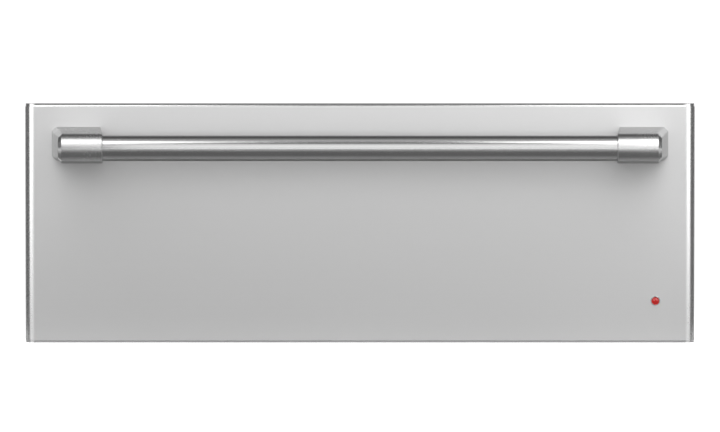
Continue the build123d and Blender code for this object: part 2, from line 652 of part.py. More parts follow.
back_top_z = CHASSIS_HEIGHT - 2 * SHEET - 2 * SEAM - SHEET
back_middle_z = (back_top_z + SHEET) / 2
louvre_bank_x = -chassis_half / 2
with BuildPart() as chassis_back:
    back_line = [
        (-base_half + SHEET / 2, CHASSIS_DEPTH - BACK_FLANGE),
        (-base_half + SHEET / 2, CHASSIS_DEPTH - SHEET / 2),
        (base_half - SHEET / 2, CHASSIS_DEPTH - SHEET / 2),
        (base_half - SHEET / 2, CHASSIS_DEPTH - BACK_FLANGE),
    ]
    extrude(folded(Plane.XY.offset(SHEET + SEAM), back_line, SHEET, 0), amount=back_top_z - SHEET, dir=(0, 0, 1))
    with BuildSketch(rear_plane(CHASSIS_DEPTH - SHEET)):
        with Locations((-JUNCTION_FROM_MIDDLE, JUNCTION_ABOVE_BASE)):
            Rectangle(JUNCTION_WIDTH - 2 * BACK_FLANGE, JUNCTION_HEIGHT - 2 * BACK_FLANGE)
        for bank_x in (louvre_bank_x, -louvre_bank_x):
            with Locations((bank_x, back_middle_z + LOUVRE_PITCH)):
                with GridLocations(0, LOUVRE_PITCH, 1, LOUVRE_ROWS):
                    Rectangle(LOUVRE_LENGTH, LOUVRE_RADIUS)
    extrude(amount=SHEET, mode=Mode.SUBTRACT)
    # Louvre hoods, pressed inwards above each slot
    for bank_x in (louvre_bank_x, -louvre_bank_x):
        for row in range(LOUVRE_ROWS):
            hood_z = back_middle_z + LOUVRE_PITCH * (row - (LOUVRE_ROWS - 1) / 2 + 1) + LOUVRE_RADIUS / 2
            with BuildSketch(Plane.YZ.offset(bank_x - LOUVRE_LENGTH / 2)):
                with BuildLine():
                    Line((CHASSIS_DEPTH, hood_z), (CHASSIS_DEPTH - SHEET, hood_z))
                    Line(
                        (CHASSIS_DEPTH - SHEET, hood_z),
                        (CHASSIS_DEPTH - LOUVRE_RADIUS, hood_z - LOUVRE_RADIUS),
                    )
                trace(line_width=SHEET * 3 / 4)
            extrude(amount=LOUVRE_LENGTH)

tab_half = LED_HOLDER_DIAMETER + LED_COLLAR
with BuildPart() as front_frame:
    with BuildSketch(front_plane(0)):
        with Locations((0, (frame_top_z + frame_bottom_z) / 2)):
            Rectangle(FRAME_WIDTH, frame_top_z - frame_bottom_z)
        with Locations((0, cavity_middle_z)):
            Rectangle(CAVITY_WIDTH, cavity_height, mode=Mode.SUBTRACT)
        with Locations((0, fascia_middle_z)):
            Rectangle(FASCIA_WIDTH, FASCIA_TOP - FASCIA_BOTTOM, mode=Mode.SUBTRACT)
        # Corner tabs, the right one carries the indicator lamp
        for side in sides.values():
            tab_top_z = light_z + tab_half
            tab_width = 2 * (cavity_half - LIGHT_FROM_MIDDLE + tab_half)
            with Locations((side * cavity_half, (frame_bottom_z + tab_top_z) / 2)):
                Rectangle(tab_width, tab_top_z - frame_bottom_z)
        with Locations((LIGHT_FROM_MIDDLE, light_z)):
            small_round(LED_HOLDER_DIAMETER / 2, mode=Mode.SUBTRACT)
        with Locations((0, CABINET_SCREW_LOW + CABINET_SCREW_RISE / 2)):
            with GridLocations(CABINET_SCREW_SPAN, CABINET_SCREW_RISE, 2, 2):
                Circle(CABINET_SCREW_HOLE / 2, mode=Mode.SUBTRACT)
    extrude(amount=FRAME)
    # Return lip, flush with the chassis panels that are welded to its back edge
    lip_height = CHASSIS_HEIGHT - frame_bottom_z
    with BuildSketch(rear_plane(0)):
        with Locations((0, frame_bottom_z + lip_height / 2)):
            Rectangle(CHASSIS_WIDTH, lip_height)
            Rectangle(CHASSIS_WIDTH - 2 * SHEET, lip_height - 2 * SHEET, mode=Mode.SUBTRACT)
    extrude(amount=FRAME_LIP)

# ---- Heated cavity ----

wall_place = cavity_half + CAVITY_SHEET / 2
cavity_walls = {}
for side_name, side in sides.items():
    with BuildPart() as cavity_wall:
        with BuildSketch(Plane.YZ.offset(side * wall_place)):
            with Locations((CAVITY_DEPTH / 2, cavity_middle_z)):
                Rectangle(CAVITY_DEPTH - SEAM, cavity_height)
            with Locations(*[(y, SLIDE_MIDDLE) for y in screw_rows]):
                small_round(SCREW_DIAMETER / 2 + SEAM, mode=Mode.SUBTRACT)
        extrude(amount=CAVITY_SHEET / 2, both=True)
    cavity_walls[side_name] = cavity_wall

with BuildPart() as cavity_floor:
    with BuildSketch(Plane.XY.offset(CAVITY_FLOOR - CAVITY_SHEET)):
        with Locations((0, CAVITY_DEPTH / 2)):
            Rectangle(CAVITY_WIDTH + 2 * CAVITY_SHEET, CAVITY_DEPTH - SEAM)
    extrude(amount=CAVITY_SHEET)

with BuildPart() as cavity_ceiling:
    with BuildSketch(Plane.XY.offset(CAVITY_CEILING)):
        with Locations((0, CAVITY_DEPTH / 2)):
            Rectangle(CAVITY_WIDTH + 2 * CAVITY_SHEET, CAVITY_DEPTH - SEAM)
    extrude(amount=CAVITY_SHEET)

element_places = [(ELEMENT_LEG, ELEMENT_HEIGHT), (-ELEMENT_LEG, ELEMENT_HEIGHT)]
with BuildPart() as cavity_back:
    with BuildSketch(rear_plane(CAVITY_DEPTH)):
        with Locations((0, cavity_middle_z)):
            Rectangle(CAVITY_WIDTH + 2 * CAVITY_SHEET, cavity_height + 2 * CAVITY_SHEET)
        with Locations(*element_places):
            small_round(ELEMENT_DIAMETER / 2 + 2 * SEAM, mode=Mode.SUBTRACT)
        with Locations((-SENSOR_FROM_MIDDLE, SENSOR_HEIGHT)):
            small_round(SENSOR_DIAMETER / 2 + SEAM, mode=Mode.SUBTRACT)
    extrude(amount=CAVITY_SHEET)

batt_inside_x = cavity_half + CAVITY_SHEET + INSULATION_GAP
batt_outside_x = base_half - SHEET - INSULATION_GAP
batt_start_y = FRAME_LIP + INSULATION_GAP
batt_back_y = CAVITY_DEPTH + CAVITY_SHEET + INSULATION_GAP
with BuildPart() as cavity_insulation:
    batt_floor_z = RIB_HEIGHT + INSULATION_GAP
    batt_length = CAVITY_DEPTH - batt_start_y
    batt_middle_y = batt_start_y + batt_length / 2
    # Side batts, with room for the ends of the rail screws
    with BuildSketch(Plane.XY.offset(CAVITY_FLOOR)):
        for side in sides.values():
            with Locations((side * (batt_inside_x + batt_outside_x) / 2, batt_middle_y)):
                Rectangle(batt_outside_x - batt_inside_x, batt_length)
            with Locations(*[(side * batt_inside_x, y) for y in screw_rows]):
                Rectangle(2 * SCREW_LENGTH, SCREW_HEAD, mode=Mode.SUBTRACT)
    extrude(amount=cavity_height)
    # Batts under the floor, over the ceiling and behind the back
    with BuildSketch(Plane.XY.offset(batt_floor_z)):
        with Locations((0, batt_middle_y)):
            Rectangle(2 * batt_outside_x, batt_length)
    extrude(amount=CAVITY_FLOOR - CAVITY_SHEET - INSULATION_GAP - batt_floor_z)
    with BuildSketch(Plane.XY.offset(CAVITY_CEILING + CAVITY_SHEET + INSULATION_GAP)):
        with Locations((0, batt_middle_y)):
            Rectangle(2 * batt_inside_x, batt_length)
    extrude(amount=CEILING_INSULATION)
    with BuildSketch(rear_plane(batt_back_y)):
        with Locations((0, cavity_middle_z)):
            Rectangle(CAVITY_WIDTH, cavity_height)
        with Locations((0, ELEMENT_HEIGHT), (-SENSOR_FROM_MIDDLE, SENSOR_HEIGHT)):
            Rectangle(4 * ELEMENT_LEG, ELEMENT_LEG, mode=Mode.SUBTRACT)
        with Locations((-CUTOUT_FROM_MIDDLE, CAVITY_FLOOR + CUTOUT_ABOVE_FLOOR)):
            Rectangle(3 * CUTOUT_DIAMETER, 2 * CUTOUT_DIAMETER, mode=Mode.SUBTRACT)
    extrude(amount=REAR_INSULATION)

# ---- Heating element and sensors ----

element_end_y = batt_back_y + ELEMENT_TAIL
with BuildPart() as heating_element:
    with BuildLine(Plane.XY.offset(ELEMENT_HEIGHT)) as element_path:
        FilletPolyline(
            (-ELEMENT_LEG, element_end_y),
            (-ELEMENT_LEG, ELEMENT_REAR),
            (-ELEMENT_HALF_WIDTH, ELEMENT_REAR),
            (-ELEMENT_HALF_WIDTH, ELEMENT_FRONT),
            (-ELEMENT_INNER, ELEMENT_FRONT),
            (-ELEMENT_INNER, ELEMENT_MIDDLE),
            (ELEMENT_INNER, ELEMENT_MIDDLE),
            (ELEMENT_INNER, ELEMENT_FRONT),
            (ELEMENT_HALF_WIDTH, ELEMENT_FRONT),
            (ELEMENT_HALF_WIDTH, ELEMENT_REAR),
            (ELEMENT_LEG, ELEMENT_REAR),
            (ELEMENT_LEG, element_end_y),
            radius=ELEMENT_BEND,
        )
    with BuildSketch(rear_plane(element_end_y)):
        with Locations((ELEMENT_LEG, ELEMENT_HEIGHT)):
            RegularPolygon(ELEMENT_DIAMETER / 2, WIRE_SIDES)
    sweep(path=element_path.line)

with BuildPart() as element_terminals:
    # Mounting flange on the cavity back
    flange_y = CAVITY_DEPTH + CAVITY_SHEET
    with BuildSketch(rear_plane(flange_y)):
        with Locations((0, ELEMENT_HEIGHT)):
            Rectangle(3 * ELEMENT_LEG, ELEMENT_LEG / 2)
        with Locations(*element_places):
            small_round(ELEMENT_DIAMETER / 2 + 2 * SEAM, mode=Mode.SUBTRACT)
    extrude(amount=SKIN)
    # Ceramic beads and push-on blades at the two cold ends
    with BuildSketch(rear_plane(element_end_y + SEAM)):
        with Locations(*element_places):
            small_round(ELEMENT_DIAMETER * 2 / 3)
    extrude(amount=ELEMENT_DIAMETER)
    with BuildSketch(rear_plane(element_end_y + SEAM + ELEMENT_DIAMETER)):
        with Locations(*element_places):
            Rectangle(ELEMENT_DIAMETER, SEAM * 8)
    extrude(amount=ELEMENT_DIAMETER)

clip_places = [(side * x, y) for side in (-1, 1) for x, y in (
    (ELEMENT_HALF_WIDTH, ELEMENT_FRONT + ELEMENT_BEND * 2),
    (ELEMENT_HALF_WIDTH, ELEMENT_REAR - ELEMENT_BEND * 2),
    (ELEMENT_INNER, (ELEMENT_FRONT + ELEMENT_MIDDLE) / 2),
)]
with BuildPart() as element_supports:
    clip_half = ELEMENT_DIAMETER / 2 + SEAM + SKIN / 2
    for clip_x, clip_y in clip_places:
        clip_line = [
            (clip_x - 4 * clip_half, CAVITY_FLOOR + SKIN / 2),
            (clip_x - clip_half, CAVITY_FLOOR + SKIN / 2),
            (clip_x - clip_half, ELEMENT_HEIGHT + clip_half),
            (clip_x + clip_half, ELEMENT_HEIGHT + clip_half),
            (clip_x + clip_half, CAVITY_FLOOR + SKIN / 2),
            (clip_x + 4 * clip_half, CAVITY_FLOOR + SKIN / 2),
        ]
        extrude(
            folded(front_plane(clip_y - ELEMENT_DIAMETER / 2), clip_line, SKIN, 0),
            amount=ELEMENT_DIAMETER,
            dir=(0, 1, 0),
        )

with BuildPart() as temperature_sensor:
    with BuildSketch(rear_plane(CAVITY_DEPTH - SENSOR_REACH)):
        with Locations((-SENSOR_FROM_MIDDLE, SENSOR_HEIGHT)):
            small_round(SENSOR_DIAMETER / 2)
    extrude(amount=SENSOR_REACH + REAR_INSULATION)
    chamfer(temperature_sensor.edges().group_by(Axis.Y)[0], SENSOR_DIAMETER / 6)
    with BuildSketch(rear_plane(CAVITY_DEPTH + CAVITY_SHEET)):
        with Locations((-SENSOR_FROM_MIDDLE, SENSOR_HEIGHT)):
            Rectangle(6 * SENSOR_DIAMETER, 3 * SENSOR_DIAMETER)
    extrude(amount=SKIN)

cutout_place = (-CUTOUT_FROM_MIDDLE, CAVITY_FLOOR + CUTOUT_ABOVE_FLOOR)
with BuildPart() as high_limit_cutout:
    with BuildSketch(rear_plane(CAVITY_DEPTH + CAVITY_SHEET)):
        with Locations(cutout_place):
            Rectangle(CUTOUT_DIAMETER * 2, CUTOUT_DIAMETER * 2 / 3)
    extrude(amount=SHEET)
    with BuildSketch(rear_plane(CAVITY_DEPTH + CAVITY_SHEET + SHEET)):
        with Locations(cutout_place):
            small_round(CUTOUT_DIAMETER / 2 - SHEET)
    extrude(amount=CUTOUT_HEIGHT)
    with BuildSketch(rear_plane(CAVITY_DEPTH + CAVITY_SHEET + SHEET + CUTOUT_HEIGHT)):
        with Locations(cutout_place):
            with GridLocations(CUTOUT_DIAMETER / 2, 0, 2, 1):
                Rectangle(SHEET, CUTOUT_DIAMETER / 3)
    extrude(amount=CUTOUT_HEIGHT)

# ---- Control compartment ----

tray_half = base_half
board_middle = (BOARD_FROM_MIDDLE, BOARD_FROM_FRONT + BOARD_WIDTH / 2)
standoff_pitch = (BOARD_LENGTH - BOARD_STANDOFF * 2, BOARD_WIDTH - BOARD_STANDOFF * 2)
with BuildPart() as control_tray:
    with BuildSketch(Plane.XY.offset(TRAY_HEIGHT)):
        with Locations((0, batt_start_y + TRAY_DEPTH / 2)):
            Rectangle(2 * tray_half, TRAY_DEPTH)
    extrude(amount=SHEET)
    with BuildSketch(Plane.XY.offset(TRAY_HEIGHT + SHEET)):
        with Locations(board_middle):
            with GridLocations(*standoff_pitch, 2, 2):
                small_round(BOARD_STANDOFF / 2)
    extrude(amount=BOARD_STANDOFF)
    # Upright edge folded along the back of the tray
    with BuildSketch(Plane.XY.offset(TRAY_HEIGHT)):
        with Locations((0, batt_start_y + TRAY_DEPTH - SHEET / 2)):
            Rectangle(2 * tray_half, SHEET)
    extrude(amount=FASCIA_TOP - TRAY_HEIGHT - 2 * SHEET)

board_z = TRAY_HEIGHT + SHEET + BOARD_STANDOFF + SEAM
with BuildPart() as control_board:
    with BuildSketch(Plane.XY.offset(board_z)):
        with Locations(board_middle):
            Rectangle(BOARD_LENGTH, BOARD_WIDTH)
    extrude(amount=BOARD_THICKNESS)

parts_z = board_z + BOARD_THICKNESS
with BuildPart() as board_components:
    # Transformer, two relays, supply capacitor and the connector row
    with BuildSketch(Plane.XY.offset(parts_z)):
        with Locations(board_middle):
            with Locations((-BOARD_LENGTH / 4, -BOARD_WIDTH / 5)):
                Rectangle(*TRANSFORMER_SIZE)
            with Locations((BOARD_LENGTH / 6, BOARD_WIDTH / 5), (BOARD_LENGTH / 3, BOARD_WIDTH / 5)):
                Rectangle(*RELAY_SIZE)
            with Locations((BOARD_LENGTH / 4, -BOARD_WIDTH / 4)):
                small_round(CAPACITOR_RADIUS)
            with Locations((-BOARD_LENGTH / 4, BOARD_WIDTH * 2 / 5)):
                Rectangle(*CONNECTOR_SIZE)
    extrude(amount=COMPONENT_HEIGHT)
    chamfer(board_components.edges().group_by(Axis.Z)[-1], SHEET)

keypad_y = fascia_back_y + GASKET_GAP + BUTTON_COLLAR + BUTTON_TRAVEL + 2 * GASKET_GAP
keypad_half = BUTTON_PITCH + BUTTON_LENGTH
switch_height = 2 * BUTTON_TRAVEL
with BuildPart() as control_fascia:
    with BuildSketch(rear_plane(FASCIA_RECESS)):
        with Locations((0, fascia_middle_z)):
            fascia_size = (FASCIA_WIDTH - 2 * BUTTON_CLEARANCE, FASCIA_TOP - FASCIA_BOTTOM - 2 * BUTTON_CLEARANCE)
            Rectangle(*fascia_size)
        with Locations(*[(-x, fascia_middle_z) for x in button_places]):
            hole_size = (BUTTON_LENGTH + 2 * BUTTON_CLEARANCE, BUTTON_WIDTH + 2 * BUTTON_CLEARANCE)
            Rectangle(*hole_size, mode=Mode.SUBTRACT)
    extrude(amount=FASCIA_THICKNESS)
    # Raised rim that frames the panel
    with BuildSketch(front_plane(FASCIA_RECESS)):
        with Locations((0, fascia_middle_z)):
            Rectangle(*fascia_size)
            Rectangle(fascia_size[0] - 2 * BEND, fascia_size[1] - 2 * BEND, mode=Mode.SUBTRACT)
    extrude(amount=FASCIA_RECESS - SEAM)
    # Bosses that carry the keypad board
    with BuildSketch(rear_plane(fascia_back_y)):
        with Locations((-button_places[1], fascia_middle_z)):
            with GridLocations(2 * (keypad_half - BOSS_DIAMETER), 0, 2, 1):
                small_round(BOSS_DIAMETER / 2)
    extrude(amount=keypad_y + switch_height - SEAM - fascia_back_y)

buttons = {
    "power_button": button(button_places[0]),
    "lower_button": button(button_places[1]),
    "higher_button": button(button_places[2]),
}

with BuildPart() as keypad_board:
    with BuildSketch(rear_plane(keypad_y + switch_height)):
        with Locations((-button_places[1], fascia_middle_z)):
            Rectangle(2 * keypad_half, FASCIA_TOP - FASCIA_BOTTOM - 4 * SHEET)
    extrude(amount=BOARD_THICKNESS)
    with BuildSketch(rear_plane(keypad_y)):
        with Locations(*[(-x, fascia_middle_z) for x in button_places]):
            Rectangle(BUTTON_WIDTH / 2, BUTTON_WIDTH / 2)
    extrude(amount=switch_height)

# ---- Supply connection ----

cover_place = (-JUNCTION_FROM_MIDDLE, JUNCTION_ABOVE_BASE)
cover_front_y = CHASSIS_DEPTH - SHEET - SEAM
with BuildPart() as junction_cover:
    with BuildSketch(front_plane(cover_front_y)):
        with Locations((JUNCTION_FROM_MIDDLE, JUNCTION_ABOVE_BASE)):
            Rectangle(JUNCTION_WIDTH, JUNCTION_HEIGHT)
            small_round(KNOCKOUT_DIAMETER / 2, mode=Mode.SUBTRACT)
            with GridLocations(JUNCTION_WIDTH - BACK_FLANGE, JUNCTION_HEIGHT - BACK_FLANGE, 2, 2):
                small_round(SCREW_DIAMETER / 2, mode=Mode.SUBTRACT)
    extrude(amount=SHEET)

with BuildPart() as inlet_bushing:
    with BuildSketch(front_plane(cover_front_y + SHEET)):
        with Locations((JUNCTION_FROM_MIDDLE, JUNCTION_ABOVE_BASE)):
            small_round((KNOCKOUT_DIAMETER - SEAM) / 2)
    extrude(amount=3 * SHEET)
    with BuildSketch(rear_plane(cover_front_y + SEAM)):
        with Locations(cover_place):
            small_round(KNOCKOUT_DIAMETER / 2 + 2 * SHEET)
    extrude(amount=SHEET)
    with BuildSketch(front_plane(cover_front_y - SHEET - SEAM)):
        with Locations((JUNCTION_FROM_MIDDLE, JUNCTION_ABOVE_BASE)):
            small_round(KNOCKOUT_DIAMETER / 2 + 2 * SHEET)
    extrude(amount=SHEET)
    with BuildSketch(front_plane(CHASSIS_DEPTH)):
        with Locations((JUNCTION_FROM_MIDDLE, JUNCTION_ABOVE_BASE)):
            Circle(BUSHING_BORE / 2)
    extrude(amount=CHASSIS_DEPTH / 10, mode=Mode.SUBTRACT)

block_y = CHASSIS_DEPTH - SHEET - SEAM
block_place = (JUNCTION_FROM_MIDDLE, JUNCTION_ABOVE_BASE + JUNCTION_HEIGHT)
with BuildPart() as terminal_block:
    with BuildSketch(front_plane(block_y)):
        with Locations(block_place):
            Rectangle(BLOCK_WIDTH, BLOCK_HEIGHT)
    extrude(amount=BLOCK_DEPTH)
    # Three wells for the supply wires
    with BuildSketch(front_plane(block_y - BLOCK_DEPTH)):
        with Locations(block_place):
            with GridLocations(BLOCK_PITCH, 0, 3, 1):
                Rectangle(BLOCK_PITCH - 2 * BLOCK_WALL, BLOCK_HEIGHT - 4 * BLOCK_WALL)
    extrude(amount=-BLOCK_DEPTH / 2, mode=Mode.SUBTRACT)

# ---- Slides ----

with BuildPart() as cabinet_rails:
    for side in sides.values():
        rail = channel(side, SLIDE_START, OUTER_LIP, OUTER_HALF, OUTER_RAIL / 2, OUTER_RAIL, lip=OUTER_RAIL * 3 / 2)
        extrude(rail, amount=SLIDE_LENGTH, dir=(0, 1, 0))
    with BuildSketch(rear_plane(SLIDE_START)):
        with Locations(*race_places(OUTER_BALL_DEPTH, outer_ball_half)):
            Circle(OUTER_BALL / 2 + RACE_CLEARANCE)
    extrude(amount=SLIDE_LENGTH, mode=Mode.SUBTRACT)
    for side in sides.values():
        with BuildSketch(Plane.YZ.offset(side * (slide_back_x - OUTER_RAIL / 2))):
            with Locations(*[(y, SLIDE_MIDDLE) for y in screw_rows]):
                small_round(SCREW_HEAD / 2)
        extrude(amount=OUTER_RAIL, both=True, mode=Mode.SUBTRACT)

with BuildPart() as intermediate_rails:
    for side in sides.values():
        rail = channel(side, SLIDE_START, MIDDLE_TIP, MIDDLE_HALF, MIDDLE_WEB, MIDDLE_RAIL)
        extrude(rail, amount=SLIDE_LENGTH, dir=(0, 1, 0))
    with BuildSketch(rear_plane(SLIDE_START)):
        with Locations(*race_places(OUTER_BALL_DEPTH, outer_ball_half)):
            Circle(OUTER_BALL / 2 + RACE_CLEARANCE)
        with Locations(*race_places(INNER_BALL_DEPTH, inner_ball_half)):
            Circle(INNER_BALL / 2 + RACE_CLEARANCE)
    extrude(amount=SLIDE_LENGTH, mode=Mode.SUBTRACT)

with BuildPart() as drawer_rails:
    for side in sides.values():
        rail = channel(side, SLIDE_START, INNER_TIP, INNER_HALF, SLIDE_THICKNESS - INNER_RAIL / 2, INNER_RAIL)
        extrude(rail, amount=SLIDE_LENGTH, dir=(0, 1, 0))
    with BuildSketch(rear_plane(SLIDE_START)):
        with Locations(*race_places(INNER_BALL_DEPTH, inner_ball_half)):
            Circle(INNER_BALL / 2 + RACE_CLEARANCE)
    extrude(amount=SLIDE_LENGTH, mode=Mode.SUBTRACT)
    for side in sides.values():
        with BuildSketch(Plane.YZ.offset(side * bracket_outer_x)):
            with Locations(*[(y, SLIDE_MIDDLE) for y in screw_rows]):
                small_round(SCREW_DIAMETER / 2 + SEAM)
        extrude(amount=side * 2 * INNER_RAIL, mode=Mode.SUBTRACT)


def ball_cages(web, ball_depth, ball_half, ball):
    """Pair of cages, left and right, each a thin channel with a pocket for every ball."""
    with BuildPart() as cages:
        for side in sides.values():
            cage = channel(side, cage_start, CAGE_TIP, ball_half, web, CAGE)
            extrude(cage, amount=CAGE_LENGTH, dir=(0, 1, 0))
        with BuildSketch(Plane.XY.offset(SLIDE_MIDDLE)):
            for x, z in race_places(ball_depth, ball_half):
                with Locations((x, cage_start + CAGE_LENGTH / 2)):
                    with GridLocations(0, BALL_PITCH, 1, BALLS_PER_RACE):
                        Rectangle(ball + 2 * RACE_CLEARANCE, ball + 2 * RACE_CLEARANCE)
        extrude(amount=ball_half + ball, both=True, mode=Mode.SUBTRACT)
    return cages


def balls(ball_depth, ball_half, ball):
    """All the balls of one size, left and right, each a belt with two tapered caps."""
    ring_radius = ball / 2 * cos(radians(BALL_FACET / 2))
    ring_height = ball / 2 * sin(radians(BALL_FACET / 2))
    with BuildPart() as ball_set:
        for x, z in race_places(ball_depth, ball_half):
            for upward in (1, -1):
                cap_start = Plane((x, cage_start + CAGE_LENGTH / 2, z + upward * ring_height), (1, 0, 0), (0, 0, upward))
                with BuildSketch(cap_start):
                    with GridLocations(0, BALL_PITCH, 1, BALLS_PER_RACE):
                        RegularPolygon(ring_radius, BALL_SIDES)
                extrude(amount=ring_radius - ring_height, taper=BALL_FACET)
            with BuildSketch(Plane.XY.offset(z - ring_height)):
                with Locations((x, cage_start + CAGE_LENGTH / 2)):
                    with GridLocations(0, BALL_PITCH, 1, BALLS_PER_RACE):
                        RegularPolygon(ring_radius, BALL_SIDES)
            extrude(amount=2 * ring_height)
    return ball_set


outer_ball_cages = ball_cages(OUTER_CAGE_WEB, OUTER_BALL_DEPTH, outer_ball_half, OUTER_BALL)
inner_ball_cages = ball_cages(INNER_CAGE_WEB, INNER_BALL_DEPTH, inner_ball_half, INNER_BALL)
outer_balls = balls(OUTER_BALL_DEPTH, outer_ball_half, OUTER_BALL)
inner_balls = balls(INNER_BALL_DEPTH, inner_ball_half, INNER_BALL)

# ---- Drawer box ----

side_brackets = {}
for side_name, side in sides.items():
    with BuildPart() as bracket:
        bracket_line = [
            (side * (bracket_inner_x + BRACKET / 2), BRACKET_BOTTOM),
            (side * (bracket_inner_x + BRACKET / 2), bracket_top_z - BRACKET / 2),
            (side * (PAN_WIDTH / 2 + SKIN), bracket_top_z - BRACKET / 2),
        ]
        bracket_front_y = plug_face_y + 2 * BRACKET
        section = folded(front_plane(bracket_front_y), bracket_line, BRACKET, 0)
        extrude(section, amount=PAN_BACK + PAN_RIM_WIDTH - bracket_front_y, dir=(0, 1, 0))
        # Tab folded outwards and screwed to the back of the front
        tab_line = [
            (side * (bracket_inner_x + BRACKET / 2), bracket_front_y + BRACKET),
            (side * (bracket_inner_x + BRACKET / 2), liner_back_y + SEAM + BRACKET / 2),
            (side * (bracket_outer_x + BRACKET_TAB), liner_back_y + SEAM + BRACKET / 2),
        ]
        extrude(
            folded(Plane.XY.offset(SLIDE_MIDDLE - BRACKET_TAB_HEIGHT / 3), tab_line, BRACKET, 0),
            amount=BRACKET_TAB_HEIGHT,
            dir=(0, 0, 1),
        )
        # Slots that lighten the web above the slide
        with BuildSketch(Plane.YZ.offset(side * bracket_outer_x)):
            with Locations((pan_middle_y, (SLIDE_MIDDLE + OUTER_HALF + PAN_RIM) / 2)):
                with GridLocations(SLIDE_LENGTH / 6, 0, 5, 1):
                    Rectangle(SLIDE_LENGTH / 9, OUTER_HALF / 2)
            with Locations(*[(y, SLIDE_MIDDLE) for y in screw_rows]):
                small_round(SCREW_DIAMETER / 2 + SEAM)
        extrude(amount=-side * 3 * BRACKET, mode=Mode.SUBTRACT)
    side_brackets[side_name] = bracket

with BuildPart() as rear_crossbar:
    crossbar_half = bracket_inner_x - SEAM
    crossbar_top = bracket_top_z - 2 * BRACKET
    crossbar_line = [
        (PAN_BACK + PAN_RIM_WIDTH + 2 * BRACKET, crossbar_top - CROSSBAR_HEIGHT),
        (PAN_BACK + 2 * BRACKET, crossbar_top - CROSSBAR_HEIGHT),
        (PAN_BACK + 2 * BRACKET, crossbar_top - BRACKET),
        (PAN_BACK + PAN_RIM_WIDTH + 2 * BRACKET, crossbar_top - BRACKET),
    ]
    extrude(
        folded(Plane.YZ.offset(-crossbar_half), crossbar_line, BRACKET, 0),
        amount=2 * crossbar_half,
        dir=(1, 0, 0),
    )

with BuildPart() as drawer_pan:
    with BuildSketch(Plane.XY.offset(PAN_FLOOR)):
        with Locations((0, pan_middle_y)):
            RectangleRounded(PAN_WIDTH, pan_length, PAN_CORNER)
    extrude(amount=PAN_RIM - PAN_FLOOR)
    chamfer(drawer_pan.edges().group_by(Axis.Z)[0], PAN_FLOOR_BEVEL)
    offset(amount=-PAN_SHEET, openings=drawer_pan.faces().sort_by(Axis.Z)[-1], kind=Kind.INTERSECTION)
    with BuildSketch(Plane.XY.offset(PAN_RIM - PAN_SHEET)):
        with Locations((0, pan_middle_y)):
            rim_corner = PAN_CORNER + PAN_RIM_WIDTH
            RectangleRounded(PAN_WIDTH + 2 * PAN_RIM_WIDTH, pan_length + 2 * PAN_RIM_WIDTH, rim_corner)
            well_size = (PAN_WIDTH - 2 * PAN_SHEET, pan_length - 2 * PAN_SHEET)
            RectangleRounded(*well_size, PAN_CORNER - PAN_SHEET, mode=Mode.SUBTRACT)
    extrude(amount=PAN_SHEET)

rack_width = PAN_WIDTH - 2 * RACK_MARGIN
rack_length = pan_length - 2 * RACK_MARGIN
rack_z = PAN_FLOOR + PAN_SHEET + RACK_HEIGHT - RACK_WIRE / 2
rack_pitch = rack_width / (RACK_CROSS_WIRES + 1)
with BuildPart() as serving_rack:
    with BuildLine(Plane.XY.offset(rack_z)) as rack_outline:
        half_width = rack_width / 2
        rack_front_y = pan_middle_y - rack_length / 2
        rack_back_y = pan_middle_y + rack_length / 2
        Polyline(
            (half_width, pan_middle_y),
            (half_width, rack_back_y - RACK_CORNER),
            (half_width - RACK_CORNER, rack_back_y),
            (RACK_CORNER - half_width, rack_back_y),
            (-half_width, rack_back_y - RACK_CORNER),
            (-half_width, rack_front_y + RACK_CORNER),
            (RACK_CORNER - half_width, rack_front_y),
            (half_width - RACK_CORNER, rack_front_y),
            (half_width, rack_front_y + RACK_CORNER),
            close=True,
        )
    with BuildSketch(rear_plane(pan_middle_y)):
        with Locations((-half_width, rack_z)):
            RegularPolygon(RACK_WIRE / 2, WIRE_SIDES)
    sweep(path=rack_outline.line, transition=Transition.RIGHT)
    with BuildSketch(rear_plane(rack_front_y)):
        with Locations((0, rack_z + RACK_CROSS_WIRE / 4)):
            with GridLocations(rack_pitch, 0, RACK_CROSS_WIRES, 1):
                RegularPolygon(RACK_CROSS_WIRE / 2, WIRE_SIDES)
    extrude(amount=rack_length)
    # Two bearers under the cross wires and six feet on the pan floor
    with BuildSketch(Plane.YZ.offset(-rack_width / 2)):
        with Locations((pan_middle_y, rack_z - RACK_CROSS_WIRE * 3 / 4)):
            with GridLocations(rack_length / 3, 0, 2, 1):
                RegularPolygon(RACK_WIRE / 2, WIRE_SIDES)
    extrude(amount=rack_width)
    with BuildSketch(Plane.XY.offset(PAN_FLOOR + PAN_SHEET + SEAM)):
        with Locations((0, pan_middle_y)):
            with GridLocations(rack_pitch * (RACK_CROSS_WIRES - 1) / 2, rack_length / 3, 3, 2):
                RegularPolygon(RACK_CROSS_WIRE / 2, WIRE_SIDES)
    extrude(amount=RACK_HEIGHT - RACK_WIRE)

# ---- Sliding moisture vent ----

